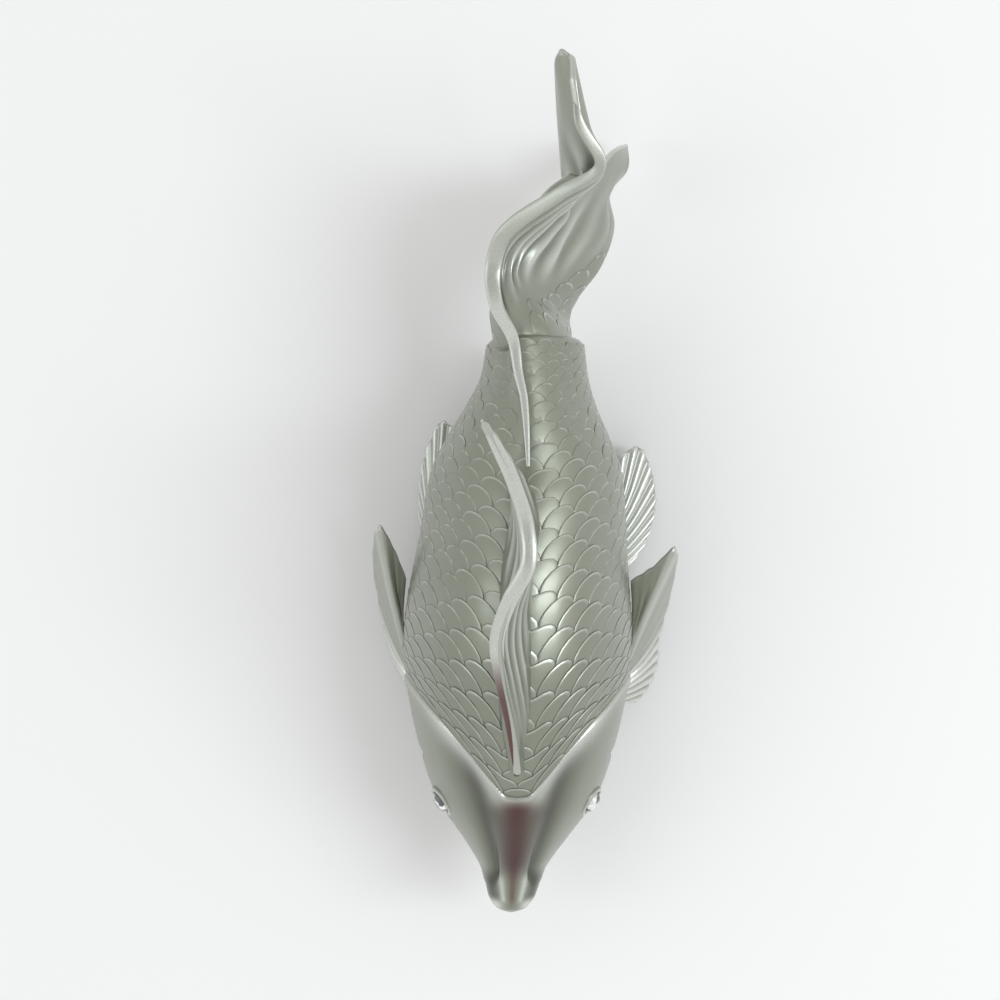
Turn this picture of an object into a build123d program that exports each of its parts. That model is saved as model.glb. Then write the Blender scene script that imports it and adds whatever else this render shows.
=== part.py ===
from build123d import *
import math
import os

import numpy as np

# Fish figurine, in millimetres. +Z is up, the head looks along -Y, and the origin is the
# centre of the resting face under the felt pad. Left and right are the fish's own sides,
# so its left flank is at +X.

# Body casting
body_length = 146.0  # nose tip to the rear rim that holds the tail
body_width = 58.8  # across the widest part of the flanks
body_depth = 72.0  # flat of the belly to the crest of the back
body_wall = 6.0  # thickness of the hollow casting
spine_sway = 4.8  # how far the rear rim stands off the head's midline
nose_to_rest = 78.5  # nose tip back to the middle of the resting face

# Raised plate of the head, which ends behind in a V
head_plate_height = 0.9  # above the scaled skin
head_plate_reach = 0.9  # how far the plate's nose stands ahead of the body's

# Low crest on the back, behind the dorsal fin
crest_height = 4.2
crest_foot = 1.6  # depth of the crest's feet inside the back

# Tail casting
tail_length = 69.0  # rear rim to the tip of the upper lobe
tail_spread = 77.0  # height of the forked fin from tip to tip
tail_sweep = 37.0  # how far the rolled fin reaches sideways
tail_root_thickness = 3.4
tail_edge_thickness = 1.6
tail_rib_rise = 0.45  # ribs above each side of the fin
tenon_width = 18.4
tenon_height = 26.4
tenon_length = 10.0

# Dorsal fin
dorsal_height = 24.0
dorsal_root_thickness = 6.0
dorsal_edge_thickness = 3.2

# Paired fins and anal fin
pectoral_reach = 40.0
pelvic_reach = 32.0
anal_reach = 20.0
fin_root_thickness = 2.8
fin_edge_thickness = 1.4
fin_tab = 3.6  # depth of a fin's root inside its slot

# Eyes
eye_stone_diameter = 6.2
eye_crown_height = 1.5  # table of the stone above its girdle
eye_pavilion_depth = 1.8  # point of the stone below its girdle
eye_rim_width = 1.6  # raised ring round the stone
eye_rim_height = 1.6  # ring above the cheek
eye_rim_root = 4.0  # ring below the cheek

# Fill hole, plug and felt pad
fill_hole_diameter = 11.0
plug_flange_diameter = 15.0
plug_flange_thickness = 2.0
plug_length = 5.0
felt_length = 44.0
felt_width = 20.0
felt_thickness = 1.5

# Steel dowel across the tail joint
dowel_diameter = 3.0
dowel_length = 20.0

# Fits
glue_gap = 0.15  # between a tab, tenon or plug and its seat
slot_end_gap = 0.4  # past the ends and the foot of a fin's tab
stone_gap = 0.1  # between a stone and its pocket
cut_overrun = 1.0  # how far a cut runs past the face that it opens

# Angles in degrees, measured round a section from the flank, up positive
pectoral_front_angle = -32.0
pectoral_rear_angle = -12.0
pelvic_front_angle = -46.0
pelvic_rear_angle = -40.0
spine_angle = 90.0
keel_angle = -90.0
eye_angle = 20.0
eye_lift_angle = 16.0  # how far the stone looks up
eye_forward_angle = 33.0  # how far the stone looks towards the nose

# Body stations from nose to rear rim: station, half width, back, belly, sway
body_shares = (
    (0.00, 0.08, 0.480, 0.410, -0.27),
    (0.02, 0.19, 0.515, 0.370, -0.25),
    (0.06, 0.27, 0.565, 0.320, -0.20),
    (0.12, 0.44, 0.645, 0.235, -0.08),
    (0.20, 0.69, 0.765, 0.130, 0.00),
    (0.30, 0.86, 0.880, 0.040, 0.03),
    (0.42, 0.98, 0.980, -0.045, 0.06),
    (0.52, 1.00, 1.000, -0.060, 0.09),
    (0.60, 0.96, 0.995, -0.045, 0.20),
    (0.68, 0.91, 0.970, 0.000, 0.38),
    (0.75, 0.87, 0.945, 0.050, 0.48),
    (0.80, 0.82, 0.915, 0.100, 0.56),
    (0.85, 0.70, 0.890, 0.160, 0.64),
    (0.90, 0.57, 0.860, 0.235, 0.78),
    (0.95, 0.47, 0.840, 0.310, 0.95),
    (1.00, 0.43, 0.825, 0.370, 1.00),
)
flank_level_share = 0.46  # height of the widest line of a section
cavity_front_share = 0.15
cavity_rear_share = 0.78
eye_station_share = 0.20
head_nape_share = 0.228  # station of the V's point on the back
head_flank_share = 0.425  # station of the V's ends on the flanks
head_plate_share = 0.50  # station where the plate's form ends, behind the V

# Crest sections: station, sideways, rise
crest_shares = (
    (0.790, -0.02, 0.12),
    (0.850, -0.22, 0.48),
    (0.900, -0.45, 0.78),
    (0.950, -0.95, 0.98),
    (0.995, -1.35, 1.00),
)
crest_left_angle = 45.0  # long slope down the left flank
crest_right_angle = 16.0  # steep fall on the right flank

# Dorsal rays: root station, then sideways, back and up at the crest
dorsal_shares = (
    (0.260, -0.010, 0.020, 0.100),
    (0.325, -0.075, 0.150, 0.230),
    (0.400, -0.190, 0.275, 0.470),
    (0.465, -0.220, 0.250, 0.655),
    (0.520, -0.105, 0.295, 0.855),
    (0.570, 0.095, 0.365, 1.000),
    (0.620, 0.060, 0.460, 1.015),
    (0.670, -0.120, 0.570, 0.900),
    (0.715, -0.290, 0.625, 0.820),
    (0.755, -0.460, 0.670, 0.750),
)
dorsal_bend_share = (0.42, 0.42, 0.56)  # middle of a ray, as shares of its crest point
dorsal_end_share = 0.5  # thickness at the front and rear end of the fin

# Paired fin rays: root station, then out, back and up at the middle and at the margin
left_pectoral_shares = (
    (0.355, 0.120, 0.000, -0.070, 0.235, 0.010, -0.160),
    (0.369, 0.160, 0.030, -0.100, 0.300, 0.080, -0.220),
    (0.384, 0.180, 0.085, -0.105, 0.330, 0.190, -0.225),
    (0.398, 0.180, 0.150, -0.060, 0.310, 0.320, -0.155),
    (0.412, 0.190, 0.280, 0.040, 0.350, 0.575, 0.015),
    (0.426, 0.175, 0.410, 0.165, 0.375, 0.820, 0.260),
    (0.441, 0.150, 0.320, 0.110, 0.240, 0.660, 0.200),
    (0.455, 0.110, 0.230, 0.040, 0.130, 0.510, 0.075),
)
right_pectoral_shares = (
    (0.355, 0.080, 0.045, -0.100, 0.150, 0.105, -0.210),
    (0.369, 0.110, 0.090, -0.105, 0.180, 0.190, -0.220),
    (0.384, 0.140, 0.130, -0.090, 0.225, 0.275, -0.200),
    (0.398, 0.150, 0.200, -0.050, 0.250, 0.430, -0.130),
    (0.412, 0.160, 0.370, 0.040, 0.290, 0.760, 0.015),
    (0.426, 0.130, 0.480, 0.170, 0.240, 0.965, 0.260),
    (0.441, 0.110, 0.380, 0.110, 0.160, 0.800, 0.200),
    (0.455, 0.095, 0.230, 0.040, 0.100, 0.510, 0.075),
)
left_pelvic_shares = (
    (0.570, 0.190, 0.100, -0.050, 0.345, 0.235, -0.120),
    (0.587, 0.260, 0.160, -0.060, 0.470, 0.360, -0.135),
    (0.604, 0.290, 0.250, -0.060, 0.525, 0.540, -0.135),
    (0.621, 0.275, 0.350, -0.055, 0.490, 0.740, -0.120),
    (0.638, 0.215, 0.430, -0.030, 0.360, 0.890, -0.070),
    (0.655, 0.110, 0.360, 0.000, 0.160, 0.730, -0.010),
)
right_pelvic_shares = (
    (0.570, 0.100, 0.150, -0.040, 0.190, 0.340, -0.100),
    (0.587, 0.120, 0.230, -0.050, 0.210, 0.500, -0.120),
    (0.604, 0.120, 0.320, -0.050, 0.205, 0.695, -0.120),
    (0.621, 0.105, 0.420, -0.040, 0.165, 0.900, -0.090),
    (0.638, 0.050, 0.530, 0.000, 0.035, 1.105, -0.010),
    (0.655, -0.020, 0.460, 0.010, -0.100, 0.960, 0.020),
)
anal_shares = (
    (0.800, 0.000, 0.160, -0.180, 0.000, 0.350, -0.320),
    (0.825, 0.000, 0.250, -0.230, 0.000, 0.550, -0.430),
    (0.850, 0.000, 0.340, -0.220, 0.000, 0.750, -0.400),
    (0.875, 0.000, 0.400, -0.150, 0.000, 0.850, -0.260),
    (0.900, 0.000, 0.380, -0.060, 0.000, 0.800, -0.090),
)

# Tail fin rays from the upper edge to the lower edge: places of sideways, back and up
tail_shares = (
    (
        (-0.16, 0.02, 0.255), (-0.28, 0.145, 0.20), (-0.31, 0.28, 0.19), (-0.21, 0.405, 0.24),
        (0.16, 0.535, 0.34), (0.42, 0.625, 0.39), (0.275, 0.765, 0.45), (0.178, 1.01, 0.50),
    ),
    (
        (-0.12, 0.02, 0.175), (-0.21, 0.145, 0.155), (-0.245, 0.275, 0.145), (-0.145, 0.39, 0.18),
        (0.135, 0.50, 0.255), (0.41, 0.61, 0.32), (0.365, 0.76, 0.395), (0.225, 0.985, 0.455),
    ),
    (
        (-0.075, 0.02, 0.11), (-0.14, 0.145, 0.105), (-0.155, 0.265, 0.10), (-0.085, 0.37, 0.115),
        (0.10, 0.465, 0.16), (0.23, 0.57, 0.22), (0.19, 0.74, 0.30), (0.125, 0.955, 0.40),
    ),
    (
        (0.00, 0.02, 0.00), (0.01, 0.13, 0.00), (0.04, 0.23, -0.005), (0.10, 0.33, -0.005),
        (0.15, 0.41, 0.00), (0.18, 0.48, 0.01), (0.19, 0.545, 0.02), (0.19, 0.605, 0.03),
    ),
    (
        (0.075, 0.02, -0.10), (0.12, 0.125, -0.10), (0.21, 0.225, -0.105), (0.32, 0.325, -0.12),
        (0.45, 0.44, -0.155), (0.475, 0.56, -0.20), (0.53, 0.68, -0.245), (0.565, 0.785, -0.28),
    ),
    (
        (0.195, 0.02, -0.18), (0.23, 0.13, -0.20), (0.345, 0.23, -0.21), (0.48, 0.335, -0.225),
        (0.562, 0.49, -0.275), (0.53, 0.63, -0.33), (0.675, 0.735, -0.40), (0.675, 0.84, -0.475),
    ),
)
# Ribs of the tail fin: across from, across to, along from, along to
tail_rib_shares = (
    (0.165, 0.195, 0.16, 0.80),
    (0.236, 0.266, 0.20, 0.80),
    (0.306, 0.336, 0.24, 0.80),
    (0.378, 0.408, 0.28, 0.80),
    (0.450, 0.480, 0.32, 0.80),
    (0.520, 0.550, 0.36, 0.80),
)

# Tail root sections behind the rim: back, sideways, half width, half height, roll in turns
tail_root_shares = (
    (-0.03, 0.00, 0.97, 0.97, 0.000),
    (0.02, 0.00, 0.96, 0.97, 0.010),
    (0.10, 0.01, 0.86, 1.00, 0.060),
    (0.20, 0.03, 0.66, 1.00, 0.097),
    (0.34, 0.12, 0.40, 0.96, 0.105),
    (0.47, 0.25, 0.14, 0.90, 0.083),
)

# Stone: radius and level of each faceted ring, as shares of the girdle, crown and pavilion
stone_crown_shares = ((1.00, 0.15), (0.80, 0.70), (0.52, 1.00))
stone_pavilion_shares = ((1.00, 0.00), (0.60, 0.60), (0.22, 1.00))
stone_sides = 8

standing = (Align.CENTER, Align.CENTER, Align.MIN)
section_points = 16
section_count = 22
fit_rows = 25
fit_columns = 13
least_degree = 5
fork_degree = 7  # across the tail fin, whose margin is forked
slot_mouth_share = 0.5  # along a ray, just outside the skin


def smooth(places, values, place):
    """Smooth curve through the values at their places, straight beyond both ends."""
    last = len(places) - 1
    slopes = []
    for index in range(last + 1):
        before = max(index - 1, 0)
        after = min(index + 1, last)
        slopes.append((values[after] - values[before]) * (1 / (places[after] - places[before])))
    if place <= places[0]:
        return values[0] + slopes[0] * (place - places[0])
    if place >= places[last]:
        return values[last] + slopes[last] * (place - places[last])
    index = max(k for k in range(last) if places[k] <= place)
    span = places[index + 1] - places[index]
    part = (place - places[index]) / span
    rise = part * part * (3 - 2 * part)
    leave = part * (1 - part) * (1 - part) * span
    arrive = part * part * (part - 1) * span
    start = values[index] * (1 - rise) + slopes[index] * leave
    return start + values[index + 1] * rise + slopes[index + 1] * arrive


def even_steps(count):
    """Shares from 0 to 1 in equal steps."""
    return [index / (count - 1) for index in range(count)]


def body_column(column, station):
    """One column of the body stations at any station."""
    places = [row[0] for row in body_shares]
    values = [row[column] for row in body_shares]
    return smooth(places, values, station)


def body_station(station):
    """Middle, half width, and heights above and below the widest line of one section."""
    back = felt_thickness + body_depth * body_column(2, station)
    belly = felt_thickness + body_depth * body_column(3, station)
    level = belly + flank_level_share * (back - belly)
    middle = Vector(spine_sway * body_column(4, station), body_length * station - nose_to_rest, level)
    return middle, body_width / 2 * body_column(1, station), back - level, level - belly


def skin(station, angle, inset=0):
    """Point of the body's skin, or of a skin lying inside it by the inset."""
    middle, half_width, rise, drop = body_station(station)
    across = math.cos(math.radians(angle))
    upward = math.sin(math.radians(angle))
    half_height = rise if upward > 0 else drop
    return middle + Vector((half_width - inset) * across, 0, (half_height - inset) * upward)


def body_loft(front, rear, inset):
    """Closed form through elliptical sections between two stations."""
    sections = []
    for share in even_steps(section_count):
        eased = share * share * (2 - share) if front == 0 else share
        station = front + (rear - front) * eased
        outline = [skin(station, 360 * step / section_points, inset) for step in range(section_points)]
        sections.append(make_face(Spline(*outline, periodic=True)))
    return loft(sections)


def head_plate():
    """Smooth plate of the head, cut off behind along a V."""
    front = -head_plate_reach / body_length
    sections = []
    for share in even_steps(section_count):
        station = front + (head_plate_share - front) * share * (0.35 + 0.65 * share)
        outline = [
            skin(station, 360 * step / section_points, -head_plate_height) for step in range(section_points)
        ]
        sections.append(make_face(Spline(*outline, periodic=True)))
    nape = body_length * head_nape_share - nose_to_rest
    flank = body_length * head_flank_share - nose_to_rest
    far = 2 * (flank - nape) + nape
    ahead = -2 * nose_to_rest
    corners = ((-body_width, ahead), (body_width, ahead), (body_width, far), (0, nape), (-body_width, far))
    outline = make_face(Polyline(*corners, close=True))
    return loft(sections) & extrude(Pos(0, 0, -body_depth) * outline, 3 * body_depth)


def bernstein(places, degree):
    """Bernstein polynomials of one degree, one row for each place."""
    terms = np.arange(degree + 1)
    counts = np.array([math.comb(degree, term) for term in terms])
    places = np.asarray(places)[:, None]
    return counts * places**terms * (1 - places) ** (degree - terms)


def fitted_net(points, across_degree, along_degree):
    """Control points of the single smooth patch that lies nearest to a grid of points."""
    across = np.linalg.pinv(bernstein(even_steps(points.shape[0]), across_degree))
    along = np.linalg.pinv(bernstein(even_steps(points.shape[1]), along_degree))
    return np.einsum("ai,ijk,bj->abk", across, points, along)


def patch_points(net, across, along):
    """Grid of points on a patch, also a little beyond its edges."""
    rows = bernstein(across, net.shape[0] - 1)
    columns = bernstein(along, net.shape[1] - 1)
    return np.einsum("ia,abk,jb->ijk", rows, net, columns)


def patch_normals(net, across, along):
    """Unit normals at a grid of places on a patch."""
    sideways = patch_points(np.diff(net, axis=0), across, along)
    outward = patch_points(np.diff(net, axis=1), across, along)
    normals = np.cross(sideways, outward)
    return normals / np.linalg.norm(normals, axis=2, keepdims=True)


def ray_net(rays, degree=0):
    """Middle patch of a fin, from points along its rays."""
    grid = []
    for across in even_steps(fit_rows):
        row = []
        for along in even_steps(fit_columns):
            crossing = [smooth(even_steps(len(ray)), ray, along) for ray in rays]
            row.append(tuple(smooth(even_steps(len(rays)), crossing, across)))
        grid.append(row)
    across_degree = max(len(rays) - 3, least_degree, degree)
    return fitted_net(np.array(grid), across_degree, len(rays[0]) + 1)


def spaced(span):
    """Places from one end of a span to the other, enough to fit a patch."""
    return np.linspace(span[0], span[1], fit_rows)


def sheet_solid(
    net, root_thickness, edge_thickness, end_share=1, across_span=(0, 1), along_span=(0, 1), extra=0,
):
    """Closed solid about a fin's middle patch, tapering from its root to its margin."""
    across = spaced(across_span)
    along = spaced(along_span)
    middle = patch_points(net, across, along)
    taper = (root_thickness + (edge_thickness - root_thickness) * along) / 2
    fullness = 1 - (1 - end_share) * (2 * across - 1) ** 4
    half = fullness[:, None] * taper[None, :] + extra
    offset = patch_normals(net, across, along) * half[:, :, None]
    skins = []
    for points in (middle + offset, middle - offset):
        skin_net = fitted_net(points, net.shape[0] - 1, net.shape[1] - 1)
        poles = [[tuple(place) for place in row] for row in skin_net.tolist()]
        skins.append(Face.make_bezier_surface(poles))
    faces = list(skins)
    for edge, twin in zip(skins[0].edges(), skins[1].edges()):
        faces.append(Face.make_surface_from_curves(edge, twin))
    return Solid(Shell(faces))


def slot_cutter(net, root_thickness, edge_thickness, end_share=1):
    """Room for a fin's root: the sheet's tab, larger all round by its gaps."""
    corners = patch_points(net, [0, 1], [0, slot_mouth_share])
    ends_share = slot_end_gap / np.linalg.norm(corners[1, 0] - corners[0, 0])
    floor_share = slot_end_gap * slot_mouth_share / np.linalg.norm(corners[0, 1] - corners[0, 0])
    return sheet_solid(
        net, root_thickness, edge_thickness, end_share,
        (-ends_share, 1 + ends_share), (-floor_share, slot_mouth_share), glue_gap,
    )


def flank_rays(rows, side, front_angle, rear_angle, reach):
    """Rays of a fin on one flank: tab, skin, middle and margin of each ray."""
    rays = []
    for step, row in zip(even_steps(len(rows)), rows):
        angle = front_angle + (rear_angle - front_angle) * step
        if side < 0:
            angle = 180 - angle
        root = skin(row[0], angle)
        tab = skin(row[0], angle, fin_tab)
        middle = root + Vector(side * row[1], row[2], row[3]) * reach
        margin = root + Vector(side * row[4], row[5], row[6]) * reach
        rays.append([tab, root, middle, margin])
    return rays


def dorsal_rays():
    """Rays of the dorsal fin, from the tab inside the back to the crest."""
    rays = []
    for station, sideways, back, up in dorsal_shares:
        root = skin(station, spine_angle)
        bend = [share * part for share, part in zip((sideways, back, up), dorsal_bend_share)]
        crest = Vector(sideways, back, up) * dorsal_height
        middle = root + Vector(*bend) * dorsal_height
        rays.append([skin(station, spine_angle, fin_tab), root, middle, root + crest])
    return rays


def crest():
    """Wedge along the back: a long slope on the left, a steep fall on the right."""
    sections = []
    for station, sideways, rise in crest_shares:
        top = skin(station, spine_angle) + Vector(sideways, 0, rise) * crest_height
        left_foot = skin(station, spine_angle - crest_left_angle, crest_foot)
        right_foot = skin(station, spine_angle + crest_right_angle, crest_foot)
        lean = Vector(top.X - right_foot.X, 0, 0) * 0.5
        sections.append(make_face(Polyline(left_foot, top, right_foot + lean, close=True)))
    return loft(sections)


def rim_centre():
    """Middle of the tail joint on the rear rim."""
    middle, half_width, rise, drop = body_station(1)
    return middle + Vector(0, 0, (rise - drop) / 2)


def eye_plane(side):
    """Plane on the cheek whose Z is the way that the stone looks."""
    lift = math.radians(eye_lift_angle)
    forward = math.radians(eye_forward_angle)
    level = Vector(side * math.cos(forward), -math.sin(forward), 0)
    look = level * math.cos(lift) + Vector(0, 0, math.sin(lift))
    angle = eye_angle if side > 0 else 180 - eye_angle
    return Plane(origin=skin(eye_station_share, angle), z_dir=look)


def eye_rim(side):
    """Raised ring that the stone is set into."""
    radius = eye_stone_diameter / 2 + stone_gap + eye_rim_width
    height = eye_rim_height + eye_rim_root
    ring = Cylinder(radius, height, align=standing)
    ring = fillet(ring.edges().group_by(Axis.Z)[-1], eye_rim_width / 2)
    return eye_plane(side) * Pos(0, 0, -eye_rim_root) * ring


def eye_pocket(side):
    """Round pocket for the stone, open at the ring's face."""
    radius = eye_stone_diameter / 2 + stone_gap
    depth = eye_pavilion_depth + stone_gap
    pocket = Cylinder(radius, depth + cut_overrun, align=standing)
    return eye_plane(side) * Pos(0, 0, eye_rim_height - depth) * pocket


def eye_stone(side):
    """Faceted crystal: flat table, crown, girdle and pavilion."""
    rings = [(radius, -level * eye_pavilion_depth) for radius, level in reversed(stone_pavilion_shares)]
    rings += [(radius, level * eye_crown_height) for radius, level in stone_crown_shares]
    facets = []
    for index, (radius, level) in enumerate(rings):
        turn = 180 / stone_sides * (index % 2) if 0 < index < len(rings) - 1 and radius < 1 else 0
        polygon = RegularPolygon(radius * eye_stone_diameter / 2, stone_sides)
        facets.append(Pos(0, 0, level) * Rot(0, 0, turn) * polygon)
    stone = loft([facet.face() for facet in facets], ruled=True)
    return eye_plane(side) * Pos(0, 0, eye_rim_height) * stone


def tenon(extra_gap, extra_length):
    """Oval block from the rear rim into the body, or the socket for it."""
    oval = Ellipse(tenon_width / 2 + extra_gap, tenon_height / 2 + extra_gap)
    plane = Plane(origin=rim_centre() + Vector(0, extra_length, 0), x_dir=(1, 0, 0), z_dir=(0, -1, 0))
    return extrude(plane * oval, tenon_length + 2 * extra_length)


def dowel(extra_gap):
    """Pin across the tail joint, or the hole for it."""
    middle = rim_centre() - Vector(0, tenon_length, 0)
    pin = Cylinder(dowel_diameter / 2 + extra_gap, dowel_length + 2 * extra_gap)
    return Pos(*middle) * Rot(90, 0, 0) * pin


def tail_root():
    """Oval tail root that thins out into the rolled fin."""
    sections = []
    centre = rim_centre()
    for back, sideways, width, height, roll in tail_root_shares:
        origin = centre + Vector(sideways * tail_sweep, back * tail_length, 0)
        plane = Plane(origin=origin, x_dir=(1, 0, 0), z_dir=(0, -1, 0))
        oval = Ellipse(width * tenon_width / 2, height * tenon_height / 2)
        sections.append((plane * Rot(0, 0, 360 * roll) * oval).face())
    return loft(sections)


def tail_fin():
    """Rolled and forked fin from the rear rim to both tips, and the ribs on it."""
    centre = rim_centre()
    rays = []
    for row in tail_shares:
        reach = [Vector(x * tail_sweep, y * tail_length, z * tail_spread) for x, y, z in row]
        rays.append([centre + place for place in reach])
    net = ray_net(rays, fork_degree)
    pieces = [sheet_solid(net, tail_root_thickness, tail_edge_thickness)]
    for first, last, start, stop in tail_rib_shares:
        pieces.append(sheet_solid(
            net, tail_root_thickness, tail_edge_thickness, 1, (first, last), (start, stop), tail_rib_rise,
        ))
    return pieces


def plug(extra_gap):
    """Stepped plug in the belly, or the stepped hole for it."""
    flange = Cylinder(plug_flange_diameter / 2 + extra_gap, plug_flange_thickness, align=standing)
    spigot = Cylinder(fill_hole_diameter / 2 + extra_gap, plug_length, align=standing)
    return Pos(0, 0, felt_thickness) * (flange + spigot)


fins = {
    "dorsal_fin": (ray_net(dorsal_rays()), dorsal_root_thickness, dorsal_edge_thickness, dorsal_end_share),
}
for fin_name, fin_rows, fin_side in (
    ("left_pectoral_fin", left_pectoral_shares, 1),
    ("right_pectoral_fin", right_pectoral_shares, -1),
):
    fin_rays = flank_rays(fin_rows, fin_side, pectoral_front_angle, pectoral_rear_angle, pectoral_reach)
    fins[fin_name] = (ray_net(fin_rays), fin_root_thickness, fin_edge_thickness)
for fin_name, fin_rows, fin_side in (
    ("left_pelvic_fin", left_pelvic_shares, 1),
    ("right_pelvic_fin", right_pelvic_shares, -1),
):
    fin_rays = flank_rays(fin_rows, fin_side, pelvic_front_angle, pelvic_rear_angle, pelvic_reach)
    fins[fin_name] = (ray_net(fin_rays), fin_root_thickness, fin_edge_thickness)
anal_rays = flank_rays(anal_shares, 1, keel_angle, keel_angle, anal_reach)
fins["anal_fin"] = (ray_net(anal_rays), fin_root_thickness, fin_edge_thickness)


def below(level):
    """Everything under a level, as a block wider than the body."""
    block = Box(2 * body_width, 2 * body_length, body_depth, align=(Align.CENTER, Align.CENTER, Align.MAX))
    return Pos(0, 0, level) * block


def body_casting():
    """Hollow body with its head plate, crest, eye rims, fin slots, tail socket and fill hole."""
    body = body_loft(0, 1, 0)
    body += crest()
    body += head_plate()
    for side in (1, -1):
        body += eye_rim(side)
    body -= below(felt_thickness)
    cavity = body_loft(cavity_front_share, cavity_rear_share, body_wall)
    cavity -= below(felt_thickness + body_wall)
    body -= cavity
    body -= tenon(glue_gap, glue_gap)
    body -= dowel(glue_gap)
    hole = Cylinder(fill_hole_diameter / 2 + glue_gap, body_wall + cut_overrun, align=standing)
    body -= plug(glue_gap)
    body -= Pos(0, 0, felt_thickness) * hole
    for side in (1, -1):
        body -= eye_pocket(side)
    for fin in fins.values():
        body -= slot_cutter(*fin)
    return body


def tail_casting():
    """Tenon, tail root and forked fin in one casting, drilled for the dowel."""
    casting = tenon(0, 0)
    casting += tail_root()
    for piece in tail_fin():
        casting += piece
    return casting - dowel(glue_gap)


nodes = {
    "body_casting": body_casting(),
    "tail_casting": tail_casting(),
    "left_eye_stone": eye_stone(1),
    "right_eye_stone": eye_stone(-1),
    "fill_plug": plug(0),
    "base_felt": extrude(Ellipse(felt_width / 2, felt_length / 2), felt_thickness),
    "tail_dowel": dowel(0),
}
for fin_name, fin in fins.items():
    nodes[fin_name] = sheet_solid(*fin)

os.makedirs("parts", exist_ok=True)
for node_name, shape in nodes.items():
    export_step(shape, f"parts/{node_name}.step")
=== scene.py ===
# %% [markdown]
# # A silver fish ornament
#
# The real object is a carp cast in resin, glued together from a hollow body, a tail and
# separate fins, set with crystal eyes and sprayed with satin silver paint. The solids of
# the frame already hold its size and its joints. This lesson dresses them: it carves the
# head, lays real scales over the body, draws the rays on the fins and mixes the paint.

# %% Load the frame
import math
import bpy
import numpy as np
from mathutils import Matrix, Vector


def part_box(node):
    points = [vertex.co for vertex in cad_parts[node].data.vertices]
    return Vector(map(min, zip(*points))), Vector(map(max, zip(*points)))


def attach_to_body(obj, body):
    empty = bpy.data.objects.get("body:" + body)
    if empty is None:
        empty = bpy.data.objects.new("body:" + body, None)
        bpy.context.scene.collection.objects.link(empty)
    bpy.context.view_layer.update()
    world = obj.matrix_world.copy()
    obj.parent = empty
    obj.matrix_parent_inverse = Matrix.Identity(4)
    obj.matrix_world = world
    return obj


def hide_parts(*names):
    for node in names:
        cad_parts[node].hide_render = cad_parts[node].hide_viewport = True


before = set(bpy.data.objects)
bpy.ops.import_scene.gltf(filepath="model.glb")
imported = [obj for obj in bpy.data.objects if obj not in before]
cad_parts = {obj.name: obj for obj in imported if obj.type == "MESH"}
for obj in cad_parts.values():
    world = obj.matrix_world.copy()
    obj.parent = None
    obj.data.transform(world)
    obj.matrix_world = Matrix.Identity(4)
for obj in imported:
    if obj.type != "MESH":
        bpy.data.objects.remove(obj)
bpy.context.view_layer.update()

MM = 0.001
scene = bpy.context.scene


def node_box(node):
    """Lowest corner, highest corner and size of one solid of the frame."""
    low, high = (np.array(corner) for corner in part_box(node))
    return low, high, high - low


body_low, body_high, body_size = node_box("body_casting")
felt_top = node_box("base_felt")[1][2]
dowel_low, dowel_high, dowel_size = node_box("tail_dowel")
rim_centre = np.array([(dowel_low + dowel_high)[0] / 2, body_high[1], (dowel_low + dowel_high)[2] / 2])
body_depth = body_high[2] - felt_top
body_length = 0.9939 * body_size[1]
body_half = 0.4924 * body_size[0]
spine_sway = rim_centre[0]
print("body", np.round(body_size / MM, 1), "rim centre", np.round(rim_centre / MM, 1))

# %% [markdown]
# ## Smooth curves through a few chosen values
#
# A body like this is described by a handful of stations from nose to tail: how wide, how
# high, how deep. A sculptor would bend a wire through them. Here one function runs a
# smooth curve through the values, and everything else is measured from it.

# %% Curves and body stations
# Stations from nose to rear rim: station, half width, back, belly, sway
body_shares = np.array((
    (-0.006, 0.03, 0.455, 0.425, -0.28),
    (0.000, 0.095, 0.480, 0.405, -0.28),
    (0.018, 0.165, 0.510, 0.375, -0.26),
    (0.050, 0.232, 0.555, 0.330, -0.21),
    (0.077, 0.275, 0.590, 0.297, -0.17),
    (0.103, 0.355, 0.624, 0.260, -0.11),
    (0.130, 0.450, 0.662, 0.222, -0.06),
    (0.200, 0.690, 0.765, 0.130, 0.00),
    (0.30, 0.86, 0.880, 0.040, 0.03),
    (0.42, 0.98, 0.980, -0.045, 0.06),
    (0.52, 1.00, 1.000, -0.060, 0.09),
    (0.60, 0.96, 0.995, -0.045, 0.20),
    (0.68, 0.91, 0.970, 0.000, 0.38),
    (0.75, 0.87, 0.945, 0.050, 0.48),
    (0.80, 0.82, 0.915, 0.100, 0.56),
    (0.85, 0.70, 0.890, 0.160, 0.64),
    (0.90, 0.57, 0.860, 0.235, 0.78),
    (0.95, 0.47, 0.840, 0.310, 0.95),
    (1.00, 0.43, 0.825, 0.370, 1.00),
))
flank_level_share = 0.46
# Crest behind the dorsal fin: station, turn of its top, height
crest_shares = np.array((
    (0.77, 90, 0.000),
    (0.80, 90, 0.010),
    (0.85, 92, 0.028),
    (0.90, 95, 0.047),
    (0.95, 102, 0.061),
    (1.00, 107, 0.069),
))


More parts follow.
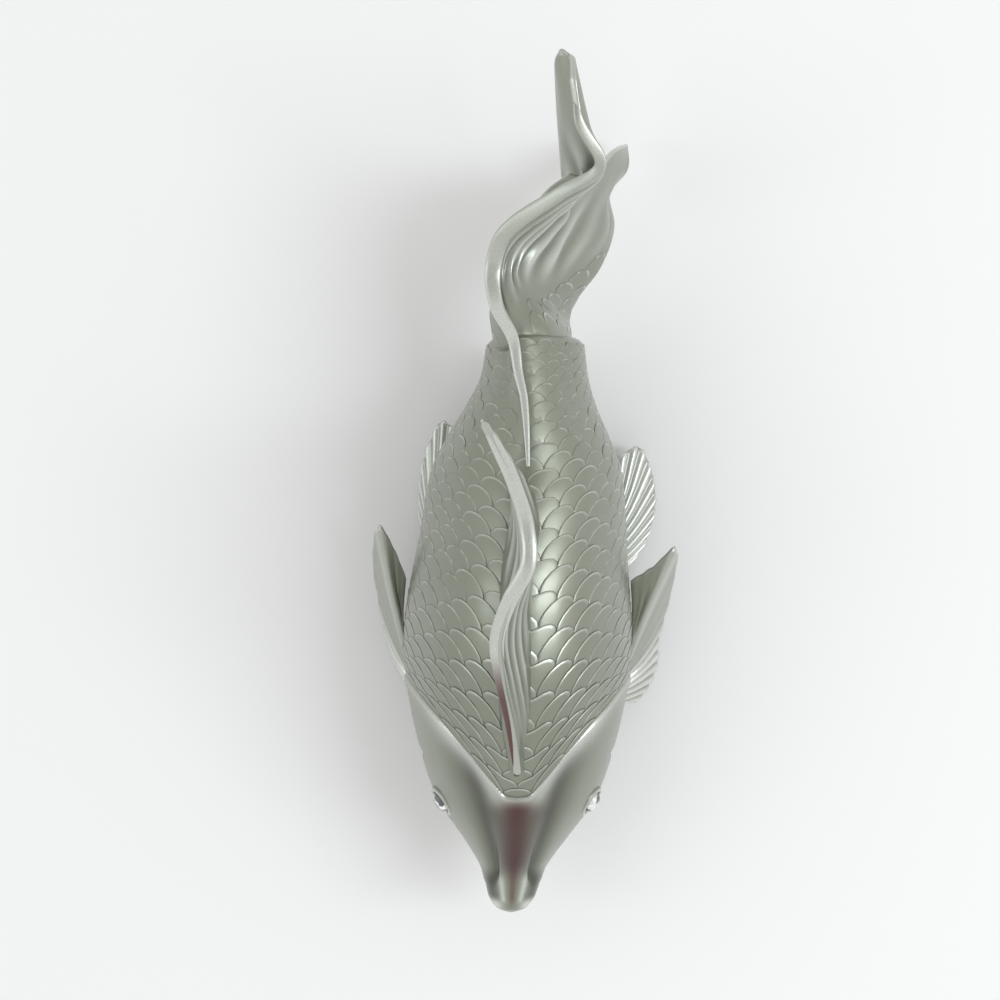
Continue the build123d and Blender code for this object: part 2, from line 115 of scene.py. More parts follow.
def smooth(places, values, at):
    """Smooth curve through values at places, straight beyond both ends."""
    places = np.asarray(places, float)
    values = np.asarray(values, float)
    at = np.asarray(at, float)
    last = len(places) - 1
    before = np.maximum(np.arange(last + 1) - 1, 0)
    after = np.minimum(np.arange(last + 1) + 1, last)
    extra = (1,) * (values.ndim - 1)
    slopes = (values[after] - values[before]) / (places[after] - places[before]).reshape((-1,) + extra)
    inside = np.clip(at, places[0], places[last])
    index = np.clip(np.searchsorted(places, inside, side="right") - 1, 0, last - 1)
    span = places[index + 1] - places[index]
    part = (inside - places[index]) / span
    rise = part * part * (3 - 2 * part)
    leave = part * (1 - part) * (1 - part) * span
    arrive = part * part * (part - 1) * span
    beyond = at - inside
    shape = at.shape + extra
    rise, leave, arrive, beyond = (share.reshape(shape) for share in (rise, leave, arrive, beyond))
    edge = np.where(at.reshape(shape) < places[0], slopes[0], slopes[last])
    curve = values[index] * (1 - rise) + values[index + 1] * rise
    return curve + slopes[index] * leave + slopes[index + 1] * arrive + edge * beyond


def steps(count):
    """Shares from 0 to 1 in equal steps."""
    return np.linspace(0, 1, count)


def ramp(low, high, value):
    """Soft step from 0 to 1 between two values."""
    share = np.clip((value - low) / (high - low), 0, 1)
    return share * share * (3 - 2 * share)


def hump(centre, width, value):
    """Soft bell that is 1 at its centre."""
    return np.exp(-(((value - centre) / width) ** 2))


def crest_turn(station):
    """Turn of the crest's top at each station."""
    return smooth(crest_shares[:, 0], crest_shares[:, 1], station)


def crest_lift(station, turn):
    """Lift of the crest: a long slope on the left flank and a steep fall on the right one."""
    rise = np.where(station < 0.77, 0, smooth(crest_shares[:, 0], crest_shares[:, 2], station))
    offset = (turn - crest_turn(station) + 180) % 360 - 180
    shape = np.where(offset < 0, ramp(-50, 0, offset) ** 1.3, 1 - ramp(0, 16, offset))
    return np.maximum(rise, 0) * shape * body_depth


def skin(station, turn, lift=0.0):
    """Points of the body's skin. turn is in degrees, 90 on the back, lift in metres."""
    station, turn, lift = np.broadcast_arrays(station, turn, lift)
    lift = lift + crest_lift(station, turn)
    half, back, belly, sway = (smooth(body_shares[:, 0], body_shares[:, k], station) for k in (1, 2, 3, 4))
    top = felt_top + body_depth * back
    bottom = felt_top + body_depth * belly
    level = bottom + flank_level_share * (top - bottom)
    across = np.cos(np.radians(turn))
    upward = np.sin(np.radians(turn))
    height = np.where(upward > 0, top - level, level - bottom)
    width = body_half * half
    normal = np.stack([across * height, 0 * across, upward * width], axis=-1)
    normal = normal / np.maximum(np.linalg.norm(normal, axis=-1, keepdims=True), 1e-9)
    x = spine_sway * sway + width * across
    y = body_high[1] - body_length * (1 - station)
    z = level + height * upward
    points = np.stack([x, y, z], axis=-1) + normal * lift[..., None]
    points[..., 2] = np.maximum(points[..., 2], felt_top)
    return points


print("widest section at", np.round(skin(0.52, 0.0) / MM, 1))

# %% [markdown]
# ## Meshes from grids of points
#
# Every sculpted piece here is a grid of points. A body closes round itself and is shut
# at both ends, and a fin is two grids that share their border, like a pillow. Sharing
# the border points keeps each shell closed, so there are no seams to sew afterwards.

# %% Mesh helpers
def grid_faces(rows, columns, start=0, wrap=False):
    """Quads of a grid of points that are numbered row by row."""
    width = columns if wrap else columns - 1
    row, column = np.meshgrid(np.arange(rows - 1), np.arange(width), indexing="ij")
    here = start + row * columns + column
    right = start + row * columns + (column + 1) % columns
    return np.stack([here, right, right + columns, here + columns], axis=-1).reshape(-1, 4)


def make_piece(name, points, faces, **attributes):
    """Mesh object with smooth faces that point outwards and named values on its points."""
    points = np.asarray(points, float)
    used, faces_flat = np.unique(np.concatenate([np.ravel(face) for face in faces]), return_inverse=True)
    lists = []
    cursor = 0
    for face in faces:
        face = np.asarray(face)
        count = face.size
        lists += faces_flat[cursor:cursor + count].reshape(face.shape).tolist()
        cursor += count
    points = points[used]
    corners = [points[[face[k] for face in lists]] for k in range(3)]
    volume = np.einsum("ij,ij->", corners[0], np.cross(corners[1], corners[2]))
    if volume < 0:
        lists = [face[::-1] for face in lists]
    mesh = bpy.data.meshes.new(name)
    mesh.from_pydata(points.tolist(), [], lists)
    for key, values in attributes.items():
        layer = mesh.attributes.new(key, "FLOAT", "POINT")
        layer.data.foreach_set("value", np.ravel(values)[used].astype(np.float32))
    mesh.shade_smooth()
    mesh.update()
    piece = bpy.data.objects.new(name, mesh)
    scene.collection.objects.link(piece)
    return piece


def closed_rings(points, first, last):
    """Points and faces of rings joined into a skin and shut by a centre point at each end."""
    rows, columns = points.shape[:2]
    every = np.concatenate([points.reshape(-1, 3), [first, last]])
    faces = [grid_faces(rows, columns, wrap=True)]
    for centre, row in ((rows * columns, 0), (rows * columns + 1, rows - 1)):
        here = row * columns + np.arange(columns)
        there = row * columns + (np.arange(columns) + 1) % columns
        fan = np.stack([np.full(columns, centre), there, here], axis=-1)
        faces.append(fan if row == 0 else fan[:, ::-1])
    return every, faces


def pillow(front, back):
    """Points and faces of two grids that share their border."""
    rows, columns = front.shape[:2]
    count = rows * columns
    number = np.arange(count).reshape(rows, columns)
    inner = np.zeros((rows, columns), bool)
    inner[1:-1, 1:-1] = True
    twin = np.where(inner, number + count, number).ravel()
    faces = grid_faces(rows, columns)
    every = np.concatenate([front.reshape(-1, 3), back.reshape(-1, 3)])
    return every, [faces, twin[faces][:, ::-1]]


print("mesh helpers ready")

# %% [markdown]
# ## The satin silver paint
#
# Silver spray paint is a haze of tiny flakes in lacquer: it shines like metal, but
# softly, and it looks a little green and grey beside chrome. A dark tone in the grooves,
# creases and hollows is partly a thin dark wash and partly painted shade. A paler tone on
# raised edges and lit places is partly wear and partly painted highlight, and a rose tint
# on the crown and the front of the dorsal fin is a painted reflection. The paint is mixed
# from nodes. A small class lets sockets be used in plain Python sums, so the recipe reads
# like arithmetic.

# %% A socket that can be used in sums
class Wire:
    """A socket of a node tree, with the operators that the recipes use."""

    def __init__(self, tree, socket=None):
        self.tree = tree
        self.socket = socket

    def make(self, kind, settings=None, inputs=None, output=0):
        """Adds a node: its type, its settings, then the values or links of its sockets."""
        node = self.tree.nodes.new(kind)
        for key, value in (settings or {}).items():
            if key == "stops":
                for element, (place, colour) in zip(node.color_ramp.elements, value):
                    element.position = place
                    element.color = colour
            else:
                setattr(node, key, value)
        for key, value in (inputs or {}).items():
            if isinstance(value, Wire):
                self.tree.links.new(value.socket, node.inputs[key])
            else:
                node.inputs[key].default_value = value
        return Wire(self.tree, node.outputs[output] if len(node.outputs) else None)

    def maths(self, operation, first, second):
        return self.make("ShaderNodeMath", {"operation": operation}, {0: first, 1: second})

    def __add__(self, other):
        return self.maths("ADD", self, other)

    def __sub__(self, other):
        return self.maths("SUBTRACT", self, other)

    def __rsub__(self, other):
        return self.maths("SUBTRACT", other, self)

    def __mul__(self, other):
        return self.maths("MULTIPLY", self, other)

    __radd__ = __add__
    __rmul__ = __mul__

    def mix(self, first, second):
        """Colour between two colours, with this socket as the share of the second."""
        settings = {"data_type": "RGBA"}
        return self.make("ShaderNodeMix", settings, {"Factor": self, 6: first, 7: second}, output=2)


def new_material(name):
    """Empty material, its node tree and its surface shader."""
    material = bpy.data.materials.new(name)
    material.use_nodes = True
    return material, Wire(material.node_tree), material.node_tree.nodes["Principled BSDF"]


def attach(wire, shader, socket):
    """Links a wire to a socket of a shader."""
    wire.tree.links.new(wire.socket, shader.inputs[socket])


# %% Mix the silver paint
silver_tone = (0.222, 0.234, 0.178, 1)
silver_cool = (0.282, 0.296, 0.244, 1)
# Paler tone on raised edges and lit places: partly wear, partly painted highlight
rubbed_tone = (0.680, 0.695, 0.650, 1)
# Dark tone in grooves, creases and hollows: partly a dark wash, partly painted shade
groove_tone = (0.052, 0.054, 0.041, 1)
# Rose tint: a painted reflection on the crown and the front of the dorsal crest
rose_tone = (0.092, 0.018, 0.020, 1)


def silver_paint(name):
    """Satin silver lacquer with flakes and soft mottling, a dark tone that is partly wash and partly painted shade, a
    pale tone that is partly wear and partly painted highlight, and a painted rose reflection.
    """
    material, tree, shader = new_material(name)
    place = tree.make("ShaderNodeTexCoord", output=3)
    flakes = tree.make("ShaderNodeTexNoise", {}, {"Vector": place, "Scale": 2600.0, "Detail": 2.0})
    clouds = tree.make("ShaderNodeTexNoise", {}, {"Vector": place, "Scale": 70.0, "Detail": 3.0})
    groove = tree.make("ShaderNodeAttribute", {"attribute_name": "groove"}, output=2)
    rubbed = tree.make("ShaderNodeAttribute", {"attribute_name": "rubbed"}, output=2)
    rose = tree.make("ShaderNodeAttribute", {"attribute_name": "rose"}, output=2)
    shallow = tree.make("ShaderNodeAttribute", {"attribute_name": "shallow"}, output=2)
    base = (clouds * 0.7 + flakes * 0.5 - 0.1).mix(silver_tone, silver_cool)
    patches = tree.make("ShaderNodeTexNoise", {}, {"Vector": place, "Scale": 330.0, "Detail": 1.0})
    broken = tree.make("ShaderNodeMapRange", {}, {"Value": patches, "From Min": 0.42, "From Max": 0.62})
    # Lighten with the pale tone: partly wear, partly painted highlight, broken up on low plates
    wear_and_highlight_share = rubbed * (0.55 + flakes * 0.8) * (1 - shallow * (1 - broken) * 1.8)
    base = tree.maths("MAXIMUM", wear_and_highlight_share, 0.0).mix(base, rubbed_tone)
    # Painted rose reflection
    base = rose.mix(base, rose_tone)
    # Darken with the dark tone: partly wash, partly painted shade, weaker on low plates
    base = (groove * (0.85 - shallow * 0.45)).mix(base, groove_tone)
    attach(base, shader, "Base Color")
    attach(0.31 + flakes * 0.12 + clouds * 0.06 + groove * 0.15 - rubbed * 0.06, shader, "Roughness")
    grain = tree.make("ShaderNodeBump", {}, {"Strength": 0.25, "Distance": 0.00006, "Height": flakes})
    attach(grain, shader, "Normal")
    shader.inputs["Metallic"].default_value = 0.82
    shader.inputs["Coat Weight"].default_value = 0.7
    shader.inputs["Coat Roughness"].default_value = 0.26
    shader.inputs["Coat IOR"].default_value = 1.55
    return material


silver = silver_paint("satin_silver_paint")
print("mixed", silver.name)

# %% [markdown]
# ## The camera and the light
#
# The photograph looks straight down on the back of the fish, so the camera hangs above it
# with the tail at the top of the picture. A soft box on the right draws the bright strip
# beside the dorsal fin, a weaker one answers it on the left, and the ceiling round the
# camera is darker, so the crown of the head keeps some depth.

# %% Camera, lamps and floor
picture_width = 0.26  # metres across the picture, at the middle of the fish
camera_rise = 0.65  # metres from the middle of the fish up to the camera
middle_height = 0.038
picture_centre = (-0.0043, 0.0286)

camera_data = bpy.data.cameras.new("photo_camera")
camera_data.sensor_width = 36.0
camera_data.lens = camera_data.sensor_width * camera_rise / picture_width
camera_data.clip_start = 0.01
camera = bpy.data.objects.new("photo_camera", camera_data)
camera.location = (*picture_centre, middle_height + camera_rise)
scene.collection.objects.link(camera)
scene.camera = camera


def soft_lamp(name, place, aim, width, length, watts):
    """Rectangular soft box that looks at a point."""
    data = bpy.data.lights.new(name, "AREA")
    data.shape = "RECTANGLE"
    data.size = width
    data.size_y = length
    data.energy = watts
    data.color = (0.90, 0.96, 1.0)
    lamp = bpy.data.objects.new(name, data)
    lamp.location = place
    direction = np.array(aim) - np.array(place)
    lamp.rotation_euler = (
        math.atan2(math.hypot(direction[0], direction[1]), -direction[2]),
        0,
        math.atan2(direction[1], direction[0]) - math.pi / 2,
    )
    scene.collection.objects.link(lamp)
    return lamp


soft_lamp("right_box", (0.60, -0.03, 0.84), (0, 0.00, 0.04), 0.22, 0.60, 3.3)
soft_lamp("left_box", (-0.60, -0.03, 0.82), (0, 0.00, 0.04), 0.16, 0.60, 0.8)

world = bpy.data.worlds.new("room")
world.use_nodes = True
scene.world = world
room = Wire(world.node_tree)
sky = world.node_tree.nodes["Background"]
direction = room.make("ShaderNodeTexCoord", output=0)
upward = room.make("ShaderNodeSeparateXYZ", {}, {"Vector": direction}, output=2)
ceiling = room.make(
    "ShaderNodeMapRange", {"interpolation_type": "SMOOTHSTEP"}, {"Value": upward, "From Min": 0.80, "From Max": 0.985},
)
attach(ceiling.mix((0.89, 0.90, 0.89, 1), (0.36, 0.36, 0.35, 1)), sky, "Color")
sky.inputs["Strength"].default_value = 1.0

floor_half = 3.0
floor_points = [(x, y, 0.0) for x, y in ((-floor_half, -floor_half), (floor_half, -floor_half),
                                         (floor_half, floor_half), (-floor_half, floor_half))]
floor_mesh = bpy.data.meshes.new("pale_floor")
floor_mesh.from_pydata(floor_points, [], [(0, 1, 2, 3)])
floor = bpy.data.objects.new("pale_floor", floor_mesh)
scene.collection.objects.link(floor)
floor_paint, floor_tree, floor_shader = new_material("pale_floor")
floor_shader.inputs["Base Color"].default_value = (0.886, 0.876, 0.876, 1)
floor_shader.inputs["Roughness"].default_value = 0.9
floor_shader.inputs["Specular IOR Level"].default_value = 0.1
floor_mesh.materials.append(floor_paint)
scene.view_settings.view_transform = "Standard"
print("camera lens", round(camera_data.lens, 1))

# %% [markdown]
# ## The head and the body's skin
#
# The head is smooth and ends behind in a raised V that lies over the first scales. It has
# a broad ridge along the crown, hollows beside it, lips, a mouth line and a gill cover.
# These are soft forms, so they are carved as lifts of the skin: each is a bell or a step
# written in stations and turns, and the body under the scales stays plain.

# %% Carve the head
nape_share = 0.2225
flank_edge_share = 0.425
throat_share = 0.33


def from_back(turn):
    """Degrees away from the ridge of the back, 0 on the back and 180 under the belly."""
    return np.abs((np.asarray(turn, float) - 90 + 180) % 360 - 180)


def head_edge(turn):
    """Station of the head's rear edge at each turn."""
    away = from_back(turn)
    beyond = np.sin(np.radians(away)) - 0.15
    side = (beyond + np.sqrt(beyond**2 + 0.0015)) / 1.702
    upper = nape_share + (flank_edge_share - nape_share) * side
    lower = throat_share + (flank_edge_share - throat_share) * side
    return np.where(away < 90, upper, lower)


def head_relief(station, turn):
    """Lift of the head's skin in metres, its dark share (painted shade, with wash in the creases) and its pale share
    (painted highlight).
    """
    away = from_back(turn)
    gap = head_edge(turn) - station
    plate = ramp(0.0, 0.006, gap)
    lift = plate * (0.55 + 0.45 * hump(0.012, 0.012, gap))
    crown = ramp(0.03, 0.10, station) * (1 - ramp(0.16, 0.24, station))
    hollow_turn = smooth((0.04, 0.09, 0.14, 0.23, 0.34), (44, 33, 28, 28, 42), station)
    hollow = ramp(0.035, 0.08, station) * (1 - ramp(0.24, 0.36, station)) * hump(hollow_turn, 9, away)
    lift = lift + 1.2 * crown * hump(0, 15, away) - 1.5 * hollow
    lift = lift + 0.25 * hump(0.022, 0.012, station) * ramp(25, 50, away)
    mouth_line = hump(0.018 + 0.0008 * np.maximum(120 - away, 0), 0.005, station) * ramp(70, 100, away)
    lift = lift - 1.1 * mouth_line
    cheek = hump(0.285 - 0.00001 * (away - 95) ** 2, 0.008, station) * ramp(66, 88, away) * (1 - ramp(135, 150, away))
    lift = lift - 0.5 * cheek
    # Painted shade: a dark reflection along the middle of the crown
    crown_shade = (1 - ramp(15, 32, away)) * ramp(0.055, 0.10, station) * (1 - ramp(0.185, 0.215, station))
    lip_shade = hump(56, 22, away) * ramp(0.016, 0.032, station) * (1 - ramp(0.055, 0.090, station))
    # Dark share: painted shade in the mouth line, the gill crease, the hollows, on the crown and beside the snout, with
    # some wash in the creases
    groove = 0.9 * mouth_line + 0.4 * cheek + 0.85 * hollow + 0.45 * crown_shade + 0.95 * lip_shade
    groove = np.clip(groove, 0, 1)
    # Painted shade just under the raised V edge
    groove = np.maximum(groove, 0.7 * hump(-0.003, 0.004, gap))
    # Painted highlights on the raised V edge and on the nape beside it
    rubbed = 0.55 * hump(0.006, 0.006, gap) + 1.0 * ramp(0.0, 0.008, gap) * hump(0.018, 0.030, gap) * hump(30, 19, away)
    # Painted glints at the corners of the mouth
    rubbed = rubbed + 0.9 * hump(0.012, 0.010, station) * hump(50, 22, away)
    # Painted highlight strips on the snout
    snout_highlights = hump(23, 7, away) * ramp(0.012, 0.026, station) * (1 - ramp(0.055, 0.082, station))
    rubbed = rubbed + 0.85 * snout_highlights
    return lift * MM, groove, np.clip(rubbed, 0, 1)


nose_share = -0.006
nose_rows = nose_share + 0.026 * steps(16)[:-1] ** 2
skin_rows = np.concatenate([nose_rows, np.linspace(0.02, 0.42, 200)[:-1], np.linspace(0.42, 1.0, 80)])
skin_turns = np.linspace(0, 360, 256, endpoint=False)
row_grid, turn_grid = np.meshgrid(skin_rows, skin_turns, indexing="ij")
relief, skin_groove, skin_rubbed = head_relief(row_grid, turn_grid)
skin_points = skin(row_grid, turn_grid, relief)
nose_round = np.sqrt(1 - (1 - np.clip((skin_rows - nose_share) / 0.010, 0, 1)) ** 2)[:, None, None]
ring_centre = skin_points.mean(axis=1, keepdims=True)
skin_points = ring_centre + (skin_points - ring_centre) * np.maximum(nose_round, 0.02)
lip_centre = skin_points[-1].mean(axis=0)
rear_lip = [
    lip_centre + (skin_points[-1] - lip_centre) * share + (0, reach * MM, 0)
    for share, reach in ((0.985, 0.9), (0.95, 1.6), (0.90, 2.2), (0.83, 2.6))
]
# Painted rose reflection along the middle of the crown
rose_width = smooth((0.0, 0.06, 0.10, 0.23), (8, 9, 17, 14), row_grid)
rose = hump(0, rose_width, from_back(turn_grid)) * ramp(0.0, 0.03, row_grid) * (1 - ramp(0.195, 0.225, row_grid))
rose = rose * (0.65 + 0.35 * ramp(0.05, 0.10, row_grid))
skin_points = np.concatenate([skin_points, rear_lip])
every, faces = closed_rings(skin_points, skin_points[0].mean(axis=0), skin_points[-1].mean(axis=0))
plain_lip = np.zeros(len(rear_lip) * len(skin_turns) + 2)
body_skin = make_piece(
    "body_skin", every, faces,
    groove=np.append(skin_groove, plain_lip), rose=np.append(rose, plain_lip),
    rubbed=np.append(skin_rubbed, plain_lip),
)
body_skin.data.materials.append(silver)
print("body skin", len(body_skin.data.polygons), "faces")

# %% [markdown]
# ## Scales
#
# Each scale is a thin plate with a round free edge towards the tail, and it overlaps the
# plates behind it like a roof tile. Hundreds of them would be slow to place by hand. A
# flat map of the body is made instead, with rings one way and columns the other, and
# Geometry Nodes set one plate on every crossing, then bend all plates onto the skin.

# %% One scale
scale_columns = 20
scale_ring_count = 36
plate_turns = np.radians((-90, -66, -42, -20, 0, 20, 42, 66, 90, 126, 180, 234))
plate_spokes = len(plate_turns)
plate_rings = ((0.80, 0.0), (0.95, -0.03), (1.0, -0.16), (1.0, -0.75))


def scale_plate(name, edge_shade, edge_highlight):
    """Plate on a unit map: rear edge at +1 ring, half a column to each side."""
    points = [(0.0, 0.0, 0.75)]
    groove = [0.0]
    rubbed = [0.0]
    for radius, drop in plate_rings:
        for turn in plate_turns:
            x = math.cos(turn) * (1.0 if math.cos(turn) > 0 else 1.2) * radius
            y = math.sin(turn) * 0.52 * radius
            points.append((x, y, 0.5 + 0.40 * x + 0.16 * (1 - radius**2) + drop))
            # Painted shade at the step under the free edge and on the skirt, with some dark wash
            groove.append(0.0 if radius < 1 else 0.35 * edge_shade if drop > -0.5 else edge_shade)
            # Painted highlight along the free edge
            rubbed.append(edge_highlight * max(0.0, math.cos(turn)) if 0.9 < radius < 1 else 0.0)
    faces = [[(0, 1 + k, 1 + (k + 1) % plate_spokes) for k in range(plate_spokes)]]
    for ring in range(len(plate_rings) - 1):
        start = 1 + ring * plate_spokes
        there = start + plate_spokes
        faces.append([
            (start + k, there + k, there + (k + 1) % plate_spokes, start + (k + 1) % plate_spokes)
            for k in range(plate_spokes)
        ])
    plate = make_piece(name, points, faces, groove=groove, rubbed=rubbed)
    plate.data.materials.append(silver)
    return plate


# %% The flat map of the body and the places of the scales
def ring_stations(count):
    """Shares of the way from head edge to rim, closer together where the body is slim."""
    fine = np.linspace(0, 1, 400)
    width = smooth(body_shares[:, 0], body_shares[:, 1], 0.3 + 0.7 * fine)
    nape = 0.62 + 0.38 * ramp(0.0, 0.22, fine)
    places = np.concatenate([[0], np.cumsum(1 / (width * nape)[:-1])])
    return np.interp(steps(count), places / places[-1], fine)


def bed_point(ring, column):
    """Point of the body under a place on the map."""
    turn = -90 + 360 * np.asarray(column) / scale_columns
    edge = head_edge(turn)
    ring = np.asarray(ring, float)
    share = np.interp(ring, np.arange(scale_ring_count), ring_stations(scale_ring_count))
    share = np.where(ring > scale_ring_count - 1, 1 + (ring - scale_ring_count + 1) * 0.013, share)
    share = np.where(ring < 0, ring * 0.012, share)
    return skin(edge + (1 - edge) * share, turn)


def map_place(ring, column, rings, columns):
    """Place on the unit map, with a margin of three rings and two columns."""
    return (np.asarray(ring) + 3) / (rings + 6), (np.asarray(column) + 2) / (columns + 4)


def make_bed(name, point, rings, columns, turn_way, fineness=6):
    """Mesh whose flat map is rings one way and columns the other."""
    rows = np.linspace(-3, rings + 3, (rings + 6) * fineness + 1)
    lines = np.linspace(-2, columns + 2, (columns + 4) * fineness + 1)
    ring, column = np.meshgrid(rows, lines, indexing="ij")
    points = point(ring, column).reshape(-1, 3)
    faces = grid_faces(len(rows), len(lines))[:, ::turn_way]
    mesh = bpy.data.meshes.new(name)
    mesh.from_pydata(points.tolist(), [], faces.tolist())
    across, along = map_place(ring, column, rings, columns)
    flat = np.stack([across.ravel(), along.ravel()], axis=-1)
    layer = mesh.uv_layers.new(name="flat_map")
    layer.data.foreach_set("uv", flat[faces.ravel()].ravel())
    bed = bpy.data.objects.new(name, mesh)
    scene.collection.objects.link(bed)
    return bed


def make_places(name, places, rings, columns):
    """Loose points on the unit map, each with the size and the height of its plate."""
    places = np.asarray(places, float)
    across, along = map_place(places[:, 0], places[:, 1], rings, columns)
    mesh = bpy.data.meshes.new(name)
    mesh.from_pydata(np.stack([across, along, 0 * across], axis=-1).tolist(), [], [])
    spread = np.stack([places[:, 2] / (rings + 6), places[:, 2] / (columns + 4), places[:, 3]], axis=-1)
    layer = mesh.attributes.new("spread", "FLOAT_VECTOR", "POINT")
    layer.data.foreach_set("vector", spread.ravel().astype(np.float32))
    layer = mesh.attributes.new("shallow", "FLOAT", "POINT")
    layer.data.foreach_set("value", (1 - places[:, 3]).astype(np.float32))
    piece = bpy.data.objects.new(name, mesh)
    scene.collection.objects.link(piece)
    return piece


# %% The tree that lays plates on a bed
def scale_tree():
    """Geometry Nodes: one plate on every place, bent from the flat map onto the bed."""
    tree = bpy.data.node_groups.new("lay_scales", "GeometryNodeTree")
    face = tree.interface
    face.new_socket("Places", in_out="INPUT", socket_type="NodeSocketGeometry")
    face.new_socket("Bed", in_out="INPUT", socket_type="NodeSocketObject")
    face.new_socket("Plate", in_out="INPUT", socket_type="NodeSocketObject")
    face.new_socket("Relief", in_out="INPUT", socket_type="NodeSocketFloat")
    face.new_socket("Unevenness", in_out="INPUT", socket_type="NodeSocketFloat")
    face.new_socket("Seed", in_out="INPUT", socket_type="NodeSocketInt")
    face.new_socket("Paint", in_out="INPUT", socket_type="NodeSocketMaterial")
    face.new_socket("Scales", in_out="OUTPUT", socket_type="NodeSocketGeometry")
    root = Wire(tree)
    entry = tree.nodes.new("NodeGroupInput")
    given = {socket.name: Wire(tree, socket) for socket in entry.outputs}
    bed = root.make("GeometryNodeObjectInfo", {}, {"Object": given["Bed"]}, output="Geometry")
    plate = root.make("GeometryNodeObjectInfo", {}, {"Object": given["Plate"], "As Instance": True}, output="Geometry")
    spread = root.make("GeometryNodeInputNamedAttribute", {"data_type": "FLOAT_VECTOR"}, {"Name": "spread"})
    chance = root.make(
        "FunctionNodeRandomValue", {"data_type": "FLOAT"},
        {2: 1 - given["Unevenness"], 3: 1 + given["Unevenness"], "Seed": given["Seed"]}, output=1,
    )
    sized = root.make("ShaderNodeVectorMath", {"operation": "SCALE"}, {0: spread, "Scale": chance})
    laid = root.make(
        "GeometryNodeInstanceOnPoints", {},
        {"Points": given["Places"], "Instance": plate, "Scale": sized},
    )
    real = root.make("GeometryNodeRealizeInstances", {}, {"Geometry": laid})
    place = root.make("GeometryNodeInputPosition")
    height = root.make("ShaderNodeSeparateXYZ", {}, {"Vector": place}, output=2)
    flat = root.make("GeometryNodeInputNamedAttribute", {"data_type": "FLOAT_VECTOR"}, {"Name": "flat_map"})
    sampled = []
    for field in ("GeometryNodeInputPosition", "GeometryNodeInputNormal"):
        value = root.make(field)
        node = root.make(
            "GeometryNodeSampleUVSurface", {"data_type": "FLOAT_VECTOR"},
            {"Mesh": bed, "Value": value, "Source UV Map": flat, "Sample UV": place},
        )
        sampled.append(node)
    offset = root.make("ShaderNodeVectorMath", {"operation": "SCALE"}, {0: sampled[1], "Scale": height * given["Relief"]})
    target = root.make("ShaderNodeVectorMath", {"operation": "ADD"}, {0: sampled[0], 1: offset})
    bent = root.make("GeometryNodeSetPosition", {}, {"Geometry": real, "Position": target})
    painted = root.make("GeometryNodeSetMaterial", {}, {"Geometry": bent, "Material": given["Paint"]})
    root.make("NodeGroupOutput", {}, {"Scales": painted})
    return tree


def lay_scales(name, tree, places, settings):
    """Runs the tree on the places and keeps the result as a plain mesh."""
    modifier = places.modifiers.new("lay_scales", "NODES")
    modifier.node_group = tree
    sockets = {item.name: item.identifier for item in tree.interface.items_tree if item.in_out == "INPUT"}
    for key, value in settings.items():
        modifier[sockets[key]] = value
    depsgraph = bpy.context.evaluated_depsgraph_get()
    mesh = bpy.data.meshes.new_from_object(places.evaluated_get(depsgraph))
    mesh.name = name
    mesh.shade_smooth()
    piece = bpy.data.objects.new(name, mesh)
    scene.collection.objects.link(piece)
    bpy.data.objects.remove(places)
    return piece


# %% Lay the scales of the body
places = []
for ring in range(scale_ring_count):
    for number in range(scale_columns):
        column = number + 0.5 * (ring % 2)
        here = bed_point(ring, column)
        station = 1 - (body_high[1] - here[1]) / body_length
        turn = -90 + 360 * column / scale_columns
        beside = turn - crest_turn(station)
        under_band = station > 0.82 and -4 < beside < 7
        flat_from, flat_to = (17, 44) if 90 < turn < 270 else (30, 56)
        calm = ramp(flat_from, flat_to, from_back(turn)) * (0.4 + 0.6 * ramp(3, 12, ring))
        height = 1 - 0.65 * calm
        if station > 0.76 and -60 < beside < 48:
            height = height * (1 - 0.75 * ramp(0.76, 0.84, station))
        if here[2] > felt_top + 0.4 * MM and not under_band:
            places.append((ring, column, 1.0, height))
plate = scale_plate("body_plate", 1.0, 0.65)
bed = make_bed("body_bed", bed_point, scale_ring_count, scale_columns, -1)
layer_tree = scale_tree()
body_scales = lay_scales(
    "body_scales", layer_tree, make_places("body_places", places, scale_ring_count, scale_columns),
    {"Bed": bed, "Plate": plate, "Relief": 0.70 * MM, "Unevenness": 0.03, "Seed": 7, "Paint": silver},
)
print("body scales", len(places), "plates", len(body_scales.data.polygons), "faces")

# %% [markdown]
# ## Fins
#
# A fin is a thin web over bony rays. The rays are drawn first, as a few curves from root
# to margin, and a smooth sheet is run through them. The sheet gets two sides with soft
# ridges along the rays, a thicker bead along some edges and a rounded margin.

# %% Fin sheets
def ray_sheet(rays, across, along):
    """Points of the sheet through the rays, at every across and along."""
    rays = np.asarray(rays, float)
    lines = smooth(steps(rays.shape[1]), np.swapaxes(rays, 0, 1), along)
    return smooth(steps(rays.shape[0]), np.swapaxes(lines, 0, 1), across)


def sheet_normals(points):
    """Unit normals of a grid of points."""
    sideways = np.gradient(points, axis=0)
    outward = np.gradient(points, axis=1)
    normal = np.cross(sideways, outward)
    return normal / np.maximum(np.linalg.norm(normal, axis=-1, keepdims=True), 1e-12)


def rounded(distance, half):
    """Share of the thickness left at a distance from a margin."""
    share = np.clip(distance / np.maximum(half, 1e-9), 0, 1)
    return np.sqrt(1 - (1 - share) ** 2)


fin_sides = {}


